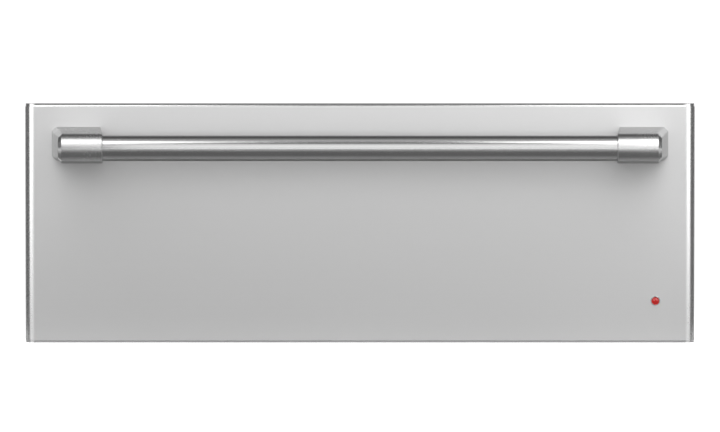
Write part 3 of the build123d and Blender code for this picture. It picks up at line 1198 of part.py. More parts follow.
vent_front_y = plug_face_y + VENT_GAP
vent_back_y = PAN_FRONT - PAN_RIM_WIDTH - VENT_GAP
vent_middle_y = (vent_front_y + vent_back_y) / 2
vent_slot_y = vent_middle_y + VENT_SLOT_WIDTH / 2
vent_tab_y = vent_front_y + VENT_TAB_FROM_FRONT
vent_cover_z = PAN_RIM - VENT_SHEET
shutter_z = vent_cover_z - VENT_GAP - VENT_SHEET
with BuildPart() as vent_cover:
    cover_end_x = bracket_inner_x - VENT_GAP
    with BuildSketch(Plane.XY.offset(vent_cover_z)):
        with Locations((0, vent_middle_y)):
            Rectangle(2 * cover_end_x, vent_back_y - vent_front_y)
        with Locations((0, vent_slot_y)):
            with GridLocations(VENT_PITCH, 0, VENT_SLOTS, 1):
                Rectangle(VENT_SLOT_LENGTH, VENT_SLOT_WIDTH, mode=Mode.SUBTRACT)
        with Locations((0, vent_tab_y)):
            track_length = VENT_TRAVEL + VENT_TAB_LENGTH + 2 * VENT_GAP
            Rectangle(track_length, VENT_TAB_WIDTH + 2 * VENT_GAP, mode=Mode.SUBTRACT)
    extrude(amount=VENT_SHEET)
    # Lips folded down that stiffen the strip and carry the shutter's runners
    with BuildSketch(Plane.XY.offset(vent_cover_z)):
        with Locations((0, vent_front_y + VENT_SHEET / 2), (0, vent_back_y - VENT_SHEET / 2)):
            Rectangle(PAN_WIDTH, VENT_SHEET)
    extrude(amount=-VENT_TAB_HEIGHT)
    with BuildSketch(Plane.XY.offset(shutter_z - VENT_GAP - VENT_SHEET)):
        with Locations((0, vent_middle_y)):
            with GridLocations(VENT_LENGTH, vent_back_y - vent_front_y - 3 * VENT_SHEET, 2, 2):
                Rectangle(2 * VENT_TRAVEL, 3 * VENT_SHEET)
    extrude(amount=VENT_SHEET)

# The plate and its tab stand half the travel to the left of the middle. The slots stand all of
# it to the left, so they lie between the cover's slots when shut and under them when open.
shutter_shift = -VENT_TRAVEL / 2
with BuildPart() as vent_shutter:
    shutter_width = vent_back_y - vent_front_y - 2 * VENT_SHEET - 2 * VENT_GAP
    with BuildSketch(Plane.XY.offset(shutter_z)):
        with Locations((shutter_shift, vent_middle_y)):
            Rectangle(VENT_LENGTH + VENT_TRAVEL, shutter_width)
        with Locations((-VENT_TRAVEL, vent_slot_y)):
            with GridLocations(VENT_PITCH, 0, VENT_SLOTS, 1):
                Rectangle(VENT_SLOT_LENGTH, VENT_SLOT_WIDTH - 2 * VENT_GAP, mode=Mode.SUBTRACT)
    extrude(amount=VENT_SHEET)
    with BuildSketch(Plane.XY.offset(shutter_z)):
        with Locations((shutter_shift, vent_tab_y)):
            Rectangle(VENT_TAB_LENGTH, VENT_TAB_WIDTH)
    extrude(amount=VENT_TAB_HEIGHT)

# ---- Stops and screws ----

with BuildPart() as closing_bumpers:
    with BuildSketch(front_plane(-FRAME)):
        with GridLocations(FRAME_WIDTH - 2 * LED_HOLDER_DIAMETER, 0, 2, 1):
            with Locations((0, frame_top_z - 2 * LED_HOLDER_DIAMETER)):
                small_round(LED_HOLDER_DIAMETER / 2)
    extrude(amount=-liner_back_y - FRAME - GASKET_GAP)
    chamfer(closing_bumpers.edges().group_by(Axis.Y)[0], GASKET_GAP)

with BuildPart() as cabinet_rail_screws:
    for side in sides.values():
        # Heads that sit in the web, flush with the inside of the rail
        with BuildSketch(Plane.YZ.offset(side * (slide_back_x - OUTER_RAIL))):
            with Locations(*[(y, SLIDE_MIDDLE) for y in screw_rows]):
                small_round(SCREW_HEAD / 2 - SEAM)
        extrude(amount=side * OUTER_RAIL)
        with BuildSketch(Plane.YZ.offset(side * slide_back_x)):
            with Locations(*[(y, SLIDE_MIDDLE) for y in screw_rows]):
                small_round(SCREW_DIAMETER / 2)
        extrude(amount=side * (SCREW_LENGTH - SLIDE_STANDOFF))

with BuildPart() as drawer_rail_screws:
    for side in sides.values():
        with BuildSketch(Plane.YZ.offset(side * (bracket_outer_x + SEAM + INNER_RAIL))):
            with Locations(*[(y, SLIDE_MIDDLE) for y in screw_rows]):
                small_round(SCREW_HEAD / 2)
        extrude(amount=side * SCREW_HEAD_HEIGHT)
        with BuildSketch(Plane.YZ.offset(side * (bracket_outer_x + SEAM + INNER_RAIL))):
            with Locations(*[(y, SLIDE_MIDDLE) for y in screw_rows]):
                small_round(SCREW_DIAMETER / 2)
        extrude(amount=-side * (INNER_RAIL + BRACKET + 2 * SEAM))

pieces = {
    "front_skin": front_skin,
    "front_liner": front_liner,
    "front_insulation": front_insulation,
    "front_gasket": front_gasket,
    "handle_bar": handle_bar,
    "left_handle_post": handle_posts["left"],
    "right_handle_post": handle_posts["right"],
    "handle_bolts": handle_bolts,
    "handle_backing_plates": handle_backing_plates,
    "bar_set_screws": bar_set_screws,
    "indicator_lens": indicator_lens,
    "lens_bezel": lens_bezel,
    "light_pipe": light_pipe,
    "indicator_led": indicator_led,
    "chassis_base": chassis_base,
    "chassis_left_side": chassis_sides["left"],
    "chassis_right_side": chassis_sides["right"],
    "chassis_top": chassis_top,
    "chassis_back": chassis_back,
    "front_frame": front_frame,
    "cavity_left_wall": cavity_walls["left"],
    "cavity_right_wall": cavity_walls["right"],
    "cavity_floor": cavity_floor,
    "cavity_ceiling": cavity_ceiling,
    "cavity_back": cavity_back,
    "cavity_insulation": cavity_insulation,
    "heating_element": heating_element,
    "element_terminals": element_terminals,
    "element_supports": element_supports,
    "temperature_sensor": temperature_sensor,
    "high_limit_cutout": high_limit_cutout,
    "control_tray": control_tray,
    "control_board": control_board,
    "board_components": board_components,
    "control_fascia": control_fascia,
    "keypad_board": keypad_board,
    "junction_cover": junction_cover,
    "inlet_bushing": inlet_bushing,
    "terminal_block": terminal_block,
    "cabinet_rails": cabinet_rails,
    "intermediate_rails": intermediate_rails,
    "drawer_rails": drawer_rails,
    "outer_ball_cages": outer_ball_cages,
    "inner_ball_cages": inner_ball_cages,
    "outer_balls": outer_balls,
    "inner_balls": inner_balls,
    "left_side_bracket": side_brackets["left"],
    "right_side_bracket": side_brackets["right"],
    "rear_crossbar": rear_crossbar,
    "drawer_pan": drawer_pan,
    "serving_rack": serving_rack,
    "vent_cover": vent_cover,
    "vent_shutter": vent_shutter,
    "closing_bumpers": closing_bumpers,
    "cabinet_rail_screws": cabinet_rail_screws,
    "drawer_rail_screws": drawer_rail_screws,
}
pieces.update(buttons)

os.makedirs("parts", exist_ok=True)
for piece_name, piece in pieces.items():
    piece.part.label = piece_name
    export_step(piece.part, f"parts/{piece_name}.step")
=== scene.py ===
import math

import bmesh
import bpy
from mathutils import Matrix, Vector


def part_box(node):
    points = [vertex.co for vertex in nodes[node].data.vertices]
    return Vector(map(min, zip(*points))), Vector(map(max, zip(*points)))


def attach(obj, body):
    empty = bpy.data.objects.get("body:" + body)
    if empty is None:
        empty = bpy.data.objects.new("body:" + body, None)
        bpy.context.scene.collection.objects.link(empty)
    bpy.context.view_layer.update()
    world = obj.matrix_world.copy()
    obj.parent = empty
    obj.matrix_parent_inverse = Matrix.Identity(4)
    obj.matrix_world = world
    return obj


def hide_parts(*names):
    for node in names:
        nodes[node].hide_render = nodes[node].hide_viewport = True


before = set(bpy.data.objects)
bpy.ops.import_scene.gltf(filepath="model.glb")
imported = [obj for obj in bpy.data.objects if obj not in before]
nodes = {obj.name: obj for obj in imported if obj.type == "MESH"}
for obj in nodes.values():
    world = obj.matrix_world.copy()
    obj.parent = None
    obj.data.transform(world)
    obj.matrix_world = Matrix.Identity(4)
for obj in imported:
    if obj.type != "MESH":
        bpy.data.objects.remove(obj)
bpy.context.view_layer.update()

scene = bpy.context.scene
MM = 0.001
WHITE = (1, 1, 1, 1)


# ---------------------------------------------------------------- materials

# Noise gathers round 0.5: the two ends that its contrast is stretched between
WIDE = (0.3, 0.7)
NARROW = (0.35, 0.65)
# How far the normal of a softened edge leans from the face's, where it begins to count and where
# it counts in full, as 1 less the two normals' product
EDGE_TURN = (0.02, 0.25)
QUARTER_TURN = 0.25
# Sockets of a colour mix, by number, because its other kinds of socket have the same names
MIX_COLOURS, MIX_RESULT = (6, 7), 2


class Nodes:
    """The few node chains that the surfaces and the studio here are made of."""

    def __init__(self, tree):
        self.tree = tree

    def node(self, kind, **settings):
        made = self.tree.nodes.new(kind)
        for key, value in settings.items():
            setattr(made, key, value)
        return made

    def link(self, source, socket):
        self.tree.links.new(source, socket)

    def feed(self, value, socket):
        """Link another socket, or set a plain value."""
        if isinstance(value, bpy.types.NodeSocket):
            self.link(value, socket)
        else:
            socket.default_value = value

    def axes(self, vector):
        made = self.node("ShaderNodeSeparateXYZ")
        self.link(vector, made.inputs["Vector"])
        return made.outputs

    def ramp(self, source, low, high, start=0.0, end=1.0):
        made = self.node("ShaderNodeMapRange", clamp=True)
        self.link(source, made.inputs["Value"])
        limits = {"From Min": start, "From Max": end, "To Min": low, "To Max": high}
        for key, value in limits.items():
            made.inputs[key].default_value = value
        return made.outputs["Result"]

    def maths(self, operation, first, second, clamp=False):
        made = self.node("ShaderNodeMath", operation=operation, use_clamp=clamp)
        for socket, value in zip(made.inputs, (first, second)):
            self.feed(value, socket)
        return made.outputs["Value"]

    def blend(self, first, second, share):
        """Sum of two sources, the first taking this share of it."""
        return self.maths("ADD", self.maths("MULTIPLY", first, share),
                          self.maths("MULTIPLY", second, 1 - share))

    def mix(self, factor, first, second):
        made = self.node("ShaderNodeMix", data_type="RGBA")
        self.link(factor, made.inputs["Factor"])
        for index, value in zip(MIX_COLOURS, (first, second)):
            self.feed(value, made.inputs[index])
        return made.outputs[MIX_RESULT]

    def greys(self, source, stops, interpolation="LINEAR"):
        """Greys along a source from 0 to 1, each stop a (position, value)."""
        made = self.node("ShaderNodeValToRGB")
        made.color_ramp.interpolation = interpolation
        elements = made.color_ramp.elements
        while len(elements) < len(stops):
            elements.new(0.5)
        for element, (position, value) in zip(elements, stops):
            element.position = position
            element.color = grey(value)
        self.link(source, made.inputs["Fac"])
        return made.outputs["Color"]


class Shader(Nodes):
    """A Principled material, and noises laid out in the object's own metres."""

    def __init__(self, name):
        self.material = bpy.data.materials.new(name)
        self.material.use_nodes = True
        super().__init__(self.material.node_tree)
        self.surface = self.tree.nodes["Principled BSDF"]
        self.place = self.node("ShaderNodeTexCoord").outputs["Object"]

    def set(self, **values):
        for key, value in values.items():
            self.surface.inputs[key.replace("_", " ")].default_value = value

    def stretch(self, scale):
        mapping = self.node("ShaderNodeMapping")
        mapping.inputs["Scale"].default_value = scale
        self.link(self.place, mapping.inputs["Vector"])
        return mapping.outputs["Vector"]

    def noise(self, scale, detail=3.0, roughness=0.55, distortion=0.0):
        made = self.node("ShaderNodeTexNoise")
        made.inputs["Scale"].default_value = 1.0
        made.inputs["Detail"].default_value = detail
        made.inputs["Roughness"].default_value = roughness
        made.inputs["Distortion"].default_value = distortion
        self.link(self.stretch(scale), made.inputs["Vector"])
        return made.outputs["Fac"]

    def even_noise(self, scale, **settings):
        return self.noise((scale, scale, scale), **settings)

    def source_of(self, name):
        return self.surface.inputs[name].links[0].from_socket

    def colour(self, source):
        self.link(source, self.surface.inputs["Base Color"])

    def rough(self, source):
        self.link(source, self.surface.inputs["Roughness"])

    def edges(self, radius):
        """1 along the edges, 0 on the faces."""
        bevel = self.node("ShaderNodeBevel", samples=4)
        bevel.inputs["Radius"].default_value = radius
        geometry = self.node("ShaderNodeNewGeometry")
        dot = self.node("ShaderNodeVectorMath", operation="DOT_PRODUCT")
        self.link(bevel.outputs["Normal"], dot.inputs[0])
        self.link(geometry.outputs["Normal"], dot.inputs[1])
        return self.ramp(self.maths("SUBTRACT", 1.0, dot.outputs["Value"]), 0.0, 1.0, *EDGE_TURN)

    def bumps(self, *layers):
        """Each layer is (height source, strength, depth in metres)."""
        previous = None
        for source, strength, depth in layers:
            bump = self.node("ShaderNodeBump")
            bump.inputs["Strength"].default_value = strength
            bump.inputs["Distance"].default_value = depth
            self.link(source, bump.inputs["Height"])
            if previous is not None:
                self.link(previous, bump.inputs["Normal"])
            previous = bump.outputs["Normal"]
        self.link(previous, self.surface.inputs["Normal"])

    def grain_along(self, direction):
        tangent = self.node("ShaderNodeCombineXYZ")
        for socket, value in zip(tangent.inputs, direction):
            socket.default_value = value
        self.link(tangent.outputs["Vector"], self.surface.inputs["Tangent"])
        self.set(Anisotropic_Rotation=QUARTER_TURN)


def grey(value, warm=0.0):
    return (value * (1 + warm), value, value * (1 - warm), 1)


def brushed_metal(name, value, roughness, grain, anisotropy, along=(1, 0, 0), contrast=0.05,
                  spread=0.06, depth=1.5e-6):
    """Sheet or bar with a fine grain, drawn out along the axis where the grain's scale is small."""
    s = Shader(name)
    s.set(Metallic=1.0, Anisotropic=anisotropy)
    s.grain_along(along)
    fine = s.noise(grain, detail=4, roughness=0.6)
    broad = s.noise(tuple(g * 0.16 for g in grain), detail=3)
    cloud = s.even_noise(3.1, detail=2)
    tone = s.blend(fine, broad, 0.6)
    dark, light = grey(value * (1 - contrast)), grey(value * (1 + contrast))
    s.colour(s.mix(s.ramp(tone, 0, 1, *WIDE), dark, light))
    s.rough(s.maths("ADD", s.ramp(tone, roughness - spread, roughness + spread, *WIDE),
                    s.ramp(cloud, -0.015, 0.015, *WIDE)))
    s.bumps((fine, 0.5, depth), (broad, 0.35, depth * 2))
    return s


def plain_metal(name, value, roughness, speck=900, warm=0.0, edge=None, depth=4e-6, spread=0.05):
    """Bare or plated metal without a grain, rubbed brighter where an edge width is given."""
    s = Shader(name)
    s.set(Metallic=1.0)
    fine = s.even_noise(speck, detail=4, roughness=0.65)
    cloud = s.even_noise(speck * 0.03, detail=3)
    base = s.mix(s.ramp(cloud, 0, 1, *NARROW), grey(value * 0.9, warm), grey(value, warm))
    if edge:
        base = s.mix(s.edges(edge), base, grey(min(value * 1.25, 0.95), warm))
    s.colour(base)
    s.rough(s.ramp(s.blend(fine, cloud, 0.5), roughness - spread, roughness + spread, *NARROW))
    s.bumps((fine, 0.4, depth))
    return s


def spangled_sheet(name, value):
    """Hot-dip galvanised steel: crystals a few millimetres wide, each a shade of its own."""
    s = Shader(name)
    s.set(Metallic=1.0)
    crystals = s.node("ShaderNodeTexVoronoi", feature="F1")
    crystals.inputs["Scale"].default_value = 1.0
    wander = s.node("ShaderNodeTexNoise")
    wander.inputs["Scale"].default_value = 160.0
    s.link(s.place, wander.inputs["Vector"])
    shift = s.node("ShaderNodeVectorMath", operation="MULTIPLY_ADD")
    shift.inputs[1].default_value = (1.6, 1.6, 1.6)
    s.link(wander.outputs["Color"], shift.inputs[0])
    s.link(s.stretch((95, 95, 95)), shift.inputs[2])
    s.link(shift.outputs["Vector"], crystals.inputs["Vector"])
    shade = s.node("ShaderNodeSeparateColor")
    s.link(crystals.outputs["Color"], shade.inputs["Color"])
    feather = s.noise((700, 90, 700), detail=4)
    flake = s.blend(shade.outputs["Red"], feather, 0.7)
    s.colour(s.mix(flake, grey(value * 0.80, -0.015), grey(value * 1.12, -0.01)))
    s.rough(s.ramp(flake, 0.30, 0.50))
    s.bumps((crystals.outputs["Distance"], 0.12, 3e-5), (feather, 0.3, 4e-6))
    return s


def moulded_plastic(name, colour, roughness, texture=2600, depth=1.2e-5, coat=0.0):
    """Plastic with a fine moulded skin, paler along its edges."""
    s = Shader(name)
    s.set(Coat_Weight=coat, Coat_Roughness=0.08)
    skin = s.even_noise(texture, detail=3, roughness=0.6)
    cloud = s.even_noise(60, detail=3)
    lighter = tuple(min(c * 1.5 + 0.01, 1) for c in colour[:3]) + (1,)
    rubbed = s.maths("MULTIPLY", s.edges(0.0004), 0.6)
    s.colour(s.mix(rubbed, s.mix(cloud, colour, lighter), lighter))
    s.rough(s.ramp(skin, roughness - 0.07, roughness + 0.07, *NARROW))
    s.bumps((skin, 0.35, depth))
    return s


def wool_batt(name):
    s = Shader(name)
    s.set(Roughness=0.95, Sheen_Weight=0.25, Sheen_Roughness=0.6)
    fibres = s.noise((900, 240, 900), detail=6, roughness=0.7, distortion=1.2)
    layers = s.noise((40, 40, 420), detail=4, distortion=0.4)
    tone = s.blend(fibres, layers, 0.65)
    s.colour(s.mix(s.ramp(tone, 0, 1, *WIDE), (0.36, 0.29, 0.13, 1), (0.80, 0.73, 0.47, 1)))
    s.bumps((layers, 0.6, 6e-4), (fibres, 0.8, 3e-4))
    return s


def rubber(name, value):
    s = Shader(name)
    s.set(Sheen_Weight=0.12, Sheen_Roughness=0.5)
    skin = s.even_noise(1800, detail=3)
    dust = s.even_noise(130, detail=4)
    s.colour(s.mix(s.ramp(dust, 0, 1, 0.35, 0.7), grey(value), grey(value * 1.5)))
    s.rough(s.ramp(skin, 0.55, 0.78, *NARROW))
    s.bumps((skin, 0.5, 2e-5))
    return s


LENS_CENTRE = Vector((0.3334, -0.026, 0.0294))


def lamp_lens(name):
    """Tinted lens with rings moulded round its centre."""
    s = Shader(name)
    s.set(Transmission_Weight=0.2, Roughness=0.12, IOR=1.45, Coat_Weight=0.25, Coat_Roughness=0.04)
    rings = s.node("ShaderNodeTexWave", wave_type="RINGS", rings_direction="Y")
    rings.inputs["Scale"].default_value = 260.0
    centre = s.node("ShaderNodeMapping")
    centre.inputs["Location"].default_value = -LENS_CENTRE
    s.link(s.place, centre.inputs["Vector"])
    s.link(centre.outputs["Vector"], rings.inputs["Vector"])
    depth = s.even_noise(500, detail=2)
    s.colour(s.mix(depth, (0.40, 0.010, 0.008, 1), (0.52, 0.016, 0.012, 1)))
    s.bumps((rings.outputs["Fac"], 0.25, 4e-5))
    return s


def acrylic(name):
    s = Shader(name)
    s.set(Transmission_Weight=0.9, IOR=1.49)
    frost = s.even_noise(700, detail=3)
    s.colour(s.mix(frost, (0.80, 0.86, 0.88, 1), (0.93, 0.95, 0.96, 1)))
    s.rough(s.ramp(frost, 0.06, 0.2))
    s.bumps((frost, 0.2, 6e-6))
    return s


def laminate(name):
    """Green solder mask with copper tracks showing through."""
    s = Shader(name)
    s.set(Coat_Weight=0.5, Coat_Roughness=0.12)
    tracks = s.node("ShaderNodeTexBrick", offset=0.5)
    tracks.inputs["Scale"].default_value = 1.0
    tracks.inputs["Mortar Size"].default_value = 0.06
    tracks.inputs["Mortar Smooth"].default_value = 0.2
    tracks.inputs["Bias"].default_value = 0.0
    s.link(s.stretch((330, 410, 330)), tracks.inputs["Vector"])
    weave = s.even_noise(1400, detail=2)
    mask, copper = (0.010, 0.085, 0.035, 1), (0.030, 0.19, 0.08, 1)
    s.colour(s.mix(tracks.outputs["Fac"], mask, copper))
    s.rough(s.ramp(weave, 0.28, 0.42))
    s.bumps((tracks.outputs["Fac"], 0.4, 3e-5), (weave, 0.2, 6e-6))
    return s


def sheathed(name):
    """Heating element sheath, oxidised brown and black by use, with a faint blue bloom."""
    s = Shader(name)
    s.set(Metallic=0.85)
    scale = s.even_noise(700, detail=5, roughness=0.7)
    bloom = s.even_noise(22, detail=3)
    black, brown, blue = (0.045, 0.040, 0.036, 1), (0.16, 0.135, 0.115, 1), (0.10, 0.11, 0.16, 1)
    oxide = s.mix(s.ramp(scale, 0, 1, *NARROW), black, brown)
    s.colour(s.mix(s.ramp(bloom, 0.0, 0.45, 0.5, 0.75), oxide, blue))
    s.rough(s.ramp(scale, 0.42, 0.62, *NARROW))
    s.bumps((scale, 0.5, 1.5e-5))
    return s


def glazed(name):
    s = Shader(name)
    grit = s.even_noise(1500, detail=3)
    stain = s.even_noise(90, detail=4)
    s.colour(s.mix(s.ramp(stain, 0, 1, 0.45, 0.75), (0.80, 0.77, 0.70, 1), (0.66, 0.60, 0.50, 1)))
    s.rough(s.ramp(grit, 0.38, 0.6, *NARROW))
    s.bumps((grit, 0.4, 1.5e-5))
    return s


def heated_sheet(name, value):
    """Satin cavity sheet with a rolled grain and clouds of the straw tint that heat leaves."""
    s = brushed_metal(name, value, 0.34, grain=(700, 8, 700), anisotropy=0.35, along=(0, 1, 0))
    base = s.source_of("Base Color")
    tint = s.noise((7, 7, 12), detail=3)
    s.colour(s.mix(s.ramp(tint, 0.0, 0.35, 0.5, 0.75), base, (0.56, 0.47, 0.33, 1)))
    return s


# Where the smoother edges of the front begin and end, in metres in from its sides and from its
# top and bottom, and how much roughness they lose
ROLL_INSET, ROLL_SMOOTHER = (0.0105, 0.008), 0.18
FOLD_INSET, FOLD_SMOOTHER = (0.0037, 0.0027), 0.23


def front_sheet(name):
    """Brushed sheet whose rolled sides and folded edges are a little smoother than its face."""
    s = brushed_metal(name, 0.66, 0.46, grain=(3, 2600, 2600), anisotropy=0.5, contrast=0.012,
                      spread=0.02, depth=4e-7)
    low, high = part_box("front_skin")
    place = s.axes(s.place)
    from_middle = s.maths("ABSOLUTE", place["X"], 0.0)
    from_centre = s.maths("ABSOLUTE", s.maths("SUBTRACT", place["Z"], (low[2] + high[2]) / 2), 0.0)
    half_width, half_height = (high[0] - low[0]) / 2, (high[2] - low[2]) / 2
    roll = s.ramp(from_middle, 0.0, ROLL_SMOOTHER, *(half_width - inset for inset in ROLL_INSET))
    fold = s.ramp(from_centre, 0.0, FOLD_SMOOTHER, *(half_height - inset for inset in FOLD_INSET))
    s.rough(s.maths("SUBTRACT", s.source_of("Roughness"), s.maths("MAXIMUM", roll, fold)))
    return s


# Painted shade: greys that tint the reflection dark at grazing angles, so that edges and sides seen
# edge-on read darker: the front and bar, and the softer metals
EDGE_SHADE_TINT = grey(0.35)
SOFT_EDGE_SHADE_TINT = grey(0.62)

FRONT_STEEL = front_sheet("front_steel")
BAR_STEEL = brushed_metal("bar_steel", 0.55, 0.20, grain=(5, 2600, 2600), anisotropy=0.5,
                          contrast=0.01, spread=0.02, depth=3e-7)
POST_STEEL = plain_metal("post_steel", 0.62, 0.26, speck=500, spread=0.02, depth=4e-7)
BEZEL_STEEL = plain_metal("bezel_steel", 0.78, 0.12, spread=0.02, depth=5e-7)
PAN_STEEL = brushed_metal("pan_steel", 0.50, 0.30, grain=(4, 900, 900), anisotropy=0.4,
                          contrast=0.03)
WIRE_STEEL = plain_metal("wire_steel", 0.80, 0.12, speck=600, spread=0.03, depth=1e-6)
CAVITY_SHEET = heated_sheet("cavity_sheet", 0.52)
FRAME_SHEET = brushed_metal("frame_sheet", 0.52, 0.34, grain=(6, 900, 900), anisotropy=0.4)
GALVANISED = spangled_sheet("galvanised", 0.50)
ZINC = plain_metal("zinc_plate", 0.60, 0.27, warm=0.012, edge=0.0003)
BLUED_ZINC = plain_metal("blued_zinc", 0.56, 0.24, warm=-0.02, edge=0.0002)
BALL_STEEL = plain_metal("ball_steel", 0.72, 0.08, speck=300, spread=0.02, depth=2e-7)
WOOL = wool_batt("mineral_wool")
SILICONE = rubber("silicone", 0.12)
LENS = lamp_lens("red_lens")
ACRYLIC = acrylic("acrylic")
BLACK = moulded_plastic("black_plastic", (0.018, 0.018, 0.02, 1), 0.5)
GLOSS_BLACK = moulded_plastic("gloss_black", (0.008, 0.008, 0.010, 1), 0.22, texture=1200,
                              depth=3e-6, coat=0.6)
KEY_GREY = moulded_plastic("key_grey", (0.20, 0.205, 0.21, 1), 0.45)
BOARD = laminate("board")
SHEATH = sheathed("element_sheath")
CERAMIC = glazed("ceramic")
# Painted shade: these steels get the dark grazing tints, which darken their reflections edge-on
for steels, rim in (((FRONT_STEEL, BAR_STEEL), EDGE_SHADE_TINT), ((POST_STEEL, GALVANISED), SOFT_EDGE_SHADE_TINT)):
    for steel in steels:
        steel.set(Specular_Tint=rim)

dressing = {
    FRONT_STEEL: ["front_skin"],
    BAR_STEEL: ["handle_bar"],
    POST_STEEL: ["left_handle_post", "right_handle_post"],
    BEZEL_STEEL: ["lens_bezel"],
    PAN_STEEL: ["drawer_pan"],
    WIRE_STEEL: ["serving_rack"],
    CAVITY_SHEET: ["cavity_left_wall", "cavity_right_wall", "cavity_floor", "cavity_ceiling",
                   "cavity_back"],
    FRAME_SHEET: ["front_liner", "front_frame", "vent_cover", "vent_shutter"],
    GALVANISED: ["chassis_base", "chassis_left_side", "chassis_right_side", "chassis_top",
                 "chassis_back", "control_tray", "junction_cover"],
    ZINC: ["handle_backing_plates", "cabinet_rails", "intermediate_rails", "drawer_rails",
           "left_side_bracket", "right_side_bracket", "rear_crossbar", "element_supports",
           "temperature_sensor"],
    BLUED_ZINC: ["handle_bolts", "bar_set_screws", "cabinet_rail_screws", "drawer_rail_screws",
                 "outer_ball_cages", "inner_ball_cages"],
    BALL_STEEL: ["outer_balls", "inner_balls"],
    WOOL: ["front_insulation", "cavity_insulation"],
    SILICONE: ["front_gasket", "closing_bumpers"],
    LENS: ["indicator_lens"],
    ACRYLIC: ["light_pipe"],
    BLACK: ["inlet_bushing", "terminal_block", "indicator_led", "board_components"],
    GLOSS_BLACK: ["control_fascia"],
    KEY_GREY: ["power_button", "lower_button", "higher_button"],
    BOARD: ["control_board", "keypad_board"],
    SHEATH: ["heating_element"],
    CERAMIC: ["element_terminals", "high_limit_cutout"],
}
for shader, names in dressing.items():
    for name in names:
        for place in nodes[name].material_slots:
            place.material = shader.material


# ---------------------------------------------------------------- pieces

UP, OUT, TO_BACK, TO_FRONT = (0, 0, 1), (1, 0, 0), (0, 1, 0), (0, -1, 0)


def new_object(name, data):
    made = bpy.data.objects.new(name, data)
    scene.collection.objects.link(made)
    return made


def new_mesh(name, build):
    mesh = bpy.data.meshes.new(name)
    bm = bmesh.new()
    build(bm)
    bmesh.ops.remove_doubles(bm, verts=bm.verts, dist=1e-7)
    bmesh.ops.recalc_face_normals(bm, faces=bm.faces)
    bm.to_mesh(mesh)
    bm.free()
    return mesh


def piece(name, build, shader, body, sharp=35):
    """A mesh piece with smooth shading that breaks at edges sharper than the angle."""
    made = new_object(name, new_mesh(name, build))
    made.data.polygons.foreach_set("use_smooth", [True] * len(made.data.polygons))
    made.data.set_sharp_from_angle(angle=math.radians(sharp))
    made.data.materials.append(shader.material)
    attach(made, body)
    return made


def facing(where, direction):
    """Matrix that takes a shape built along +Z to a place, with its +Z in that direction."""
    turn = Vector(direction).to_track_quat("Z", "Y")
    return Matrix.Translation(where) @ turn.to_matrix().to_4x4()


def ring(bm, points, matrix):
    return [bm.verts.new(matrix @ Vector(point)) for point in points]


def join_rings(bm, first, second):
    count = len(first)
    for i in range(count):
        bm.faces.new((first[i], first[(i + 1) % count], second[(i + 1) % count], second[i]))


def turned(bm, profile, matrix, steps=24, close_start=True, close_end=True):
    """Lathe: the profile is a list of (radius, height), turned about the matrix's Z axis."""
    turn = [2 * math.pi * i / steps for i in range(steps)]
    rings = []
    for radius, height in profile:
        points = [(radius * math.cos(a), radius * math.sin(a), height) for a in turn]
        rings.append(ring(bm, points, matrix))
    for first, second in zip(rings, rings[1:]):
        join_rings(bm, first, second)
    if close_start:
        bm.faces.new(list(reversed(rings[0])))
    if close_end:
        bm.faces.new(rings[-1])
    return rings


def loop_edges(bm, verts):
    pairs = zip(verts, verts[1:] + verts[:1])
    return [bm.edges.get(pair) or bm.edges.new(pair) for pair in pairs]


def arc(centre, radius, start, end, steps=6):
    """Points on a circle from one angle to another, in degrees."""
    turn = [math.radians(start + (end - start) * i / steps) for i in range(steps + 1)]
    return [(centre[0] + radius * math.cos(a), centre[1] + radius * math.sin(a)) for a in turn]


def rounded_rectangle(half_width, half_length, radius, middle_y, z, steps=9):
    points = []
    for sx, sy, start in ((1, 1, 0), (-1, 1, 90), (-1, -1, 180), (1, -1, 270)):
        centre = (sx * (half_width - radius), middle_y + sy * (half_length - radius))
        points += [(x, y, z) for x, y in arc(centre, radius, start, start + 90, steps)]
    return points


def plus_outline(reach, half):
    return [(reach, -half), (reach, half), (half, half), (half, reach), (-half, reach),
            (-half, half), (-reach, half), (-reach, -half), (-half, -half), (-half, -reach),
            (half, -reach), (half, -half)]


# Heads of screws and rivets, as shares of their radius and height
PAN_PROFILE = [(1, 0), (1, 0.30), (0.93, 0.62), (0.78, 0.86), (0.56, 1)]
RECESS_ARM, RECESS_HALF, RECESS_TAPER, RECESS_LEVEL = 0.42, 0.11, 0.55, 0.45
WASHER_PROFILE = [(1, 0), (1, 0.16), (0.92, 0.26), (0.74, 0.28)]
HEXAGON_REACH = 0.70
HEXAGON_RINGS = [(1.0, 0.2), (1.0, 0.86), (0.9, 1.0), (0.62, 1.0), (0.56, 0.9)]
RIVET_PROFILE = [(1, 0), (0.97, 0.35), (0.8, 0.72), (0.5, 0.95), (0.2, 1)]


def head_profile(shares, radius, height):
    return [(radius * out, height * up) for out, up in shares]


def pan_head(bm, matrix, radius, height):
    """Screw head with a domed rim and a cross recess."""
    rim = turned(bm, head_profile(PAN_PROFILE, radius, height), matrix, close_end=False)[-1]
    cross = plus_outline(radius * RECESS_ARM, radius * RECESS_HALF)
    mouth = ring(bm, [(x, y, height) for x, y in cross], matrix)
    bmesh.ops.triangle_fill(bm, use_beauty=True, edges=loop_edges(bm, rim) + loop_edges(bm, mouth))
    sunk = [(x * RECESS_TAPER, y * RECESS_TAPER, height * RECESS_LEVEL) for x, y in cross]
    bottom = ring(bm, sunk, matrix)
    join_rings(bm, mouth, bottom)
    bm.faces.new(bottom)


def hex_flange_head(bm, matrix, radius, height):
    """Hexagon washer-head screw, for thin sheet."""
    turned(bm, head_profile(WASHER_PROFILE, radius, height), matrix)
    reach = radius * HEXAGON_REACH
    turn = [math.pi / 3 * i for i in range(6)]
    rings = []
    for size, level in HEXAGON_RINGS:
        corners = [(reach * size * math.cos(a), reach * size * math.sin(a), height * level)
                   for a in turn]
        rings.append(ring(bm, corners, matrix))
    for first, second in zip(rings, rings[1:]):
        join_rings(bm, first, second)
    bm.faces.new(rings[-1])


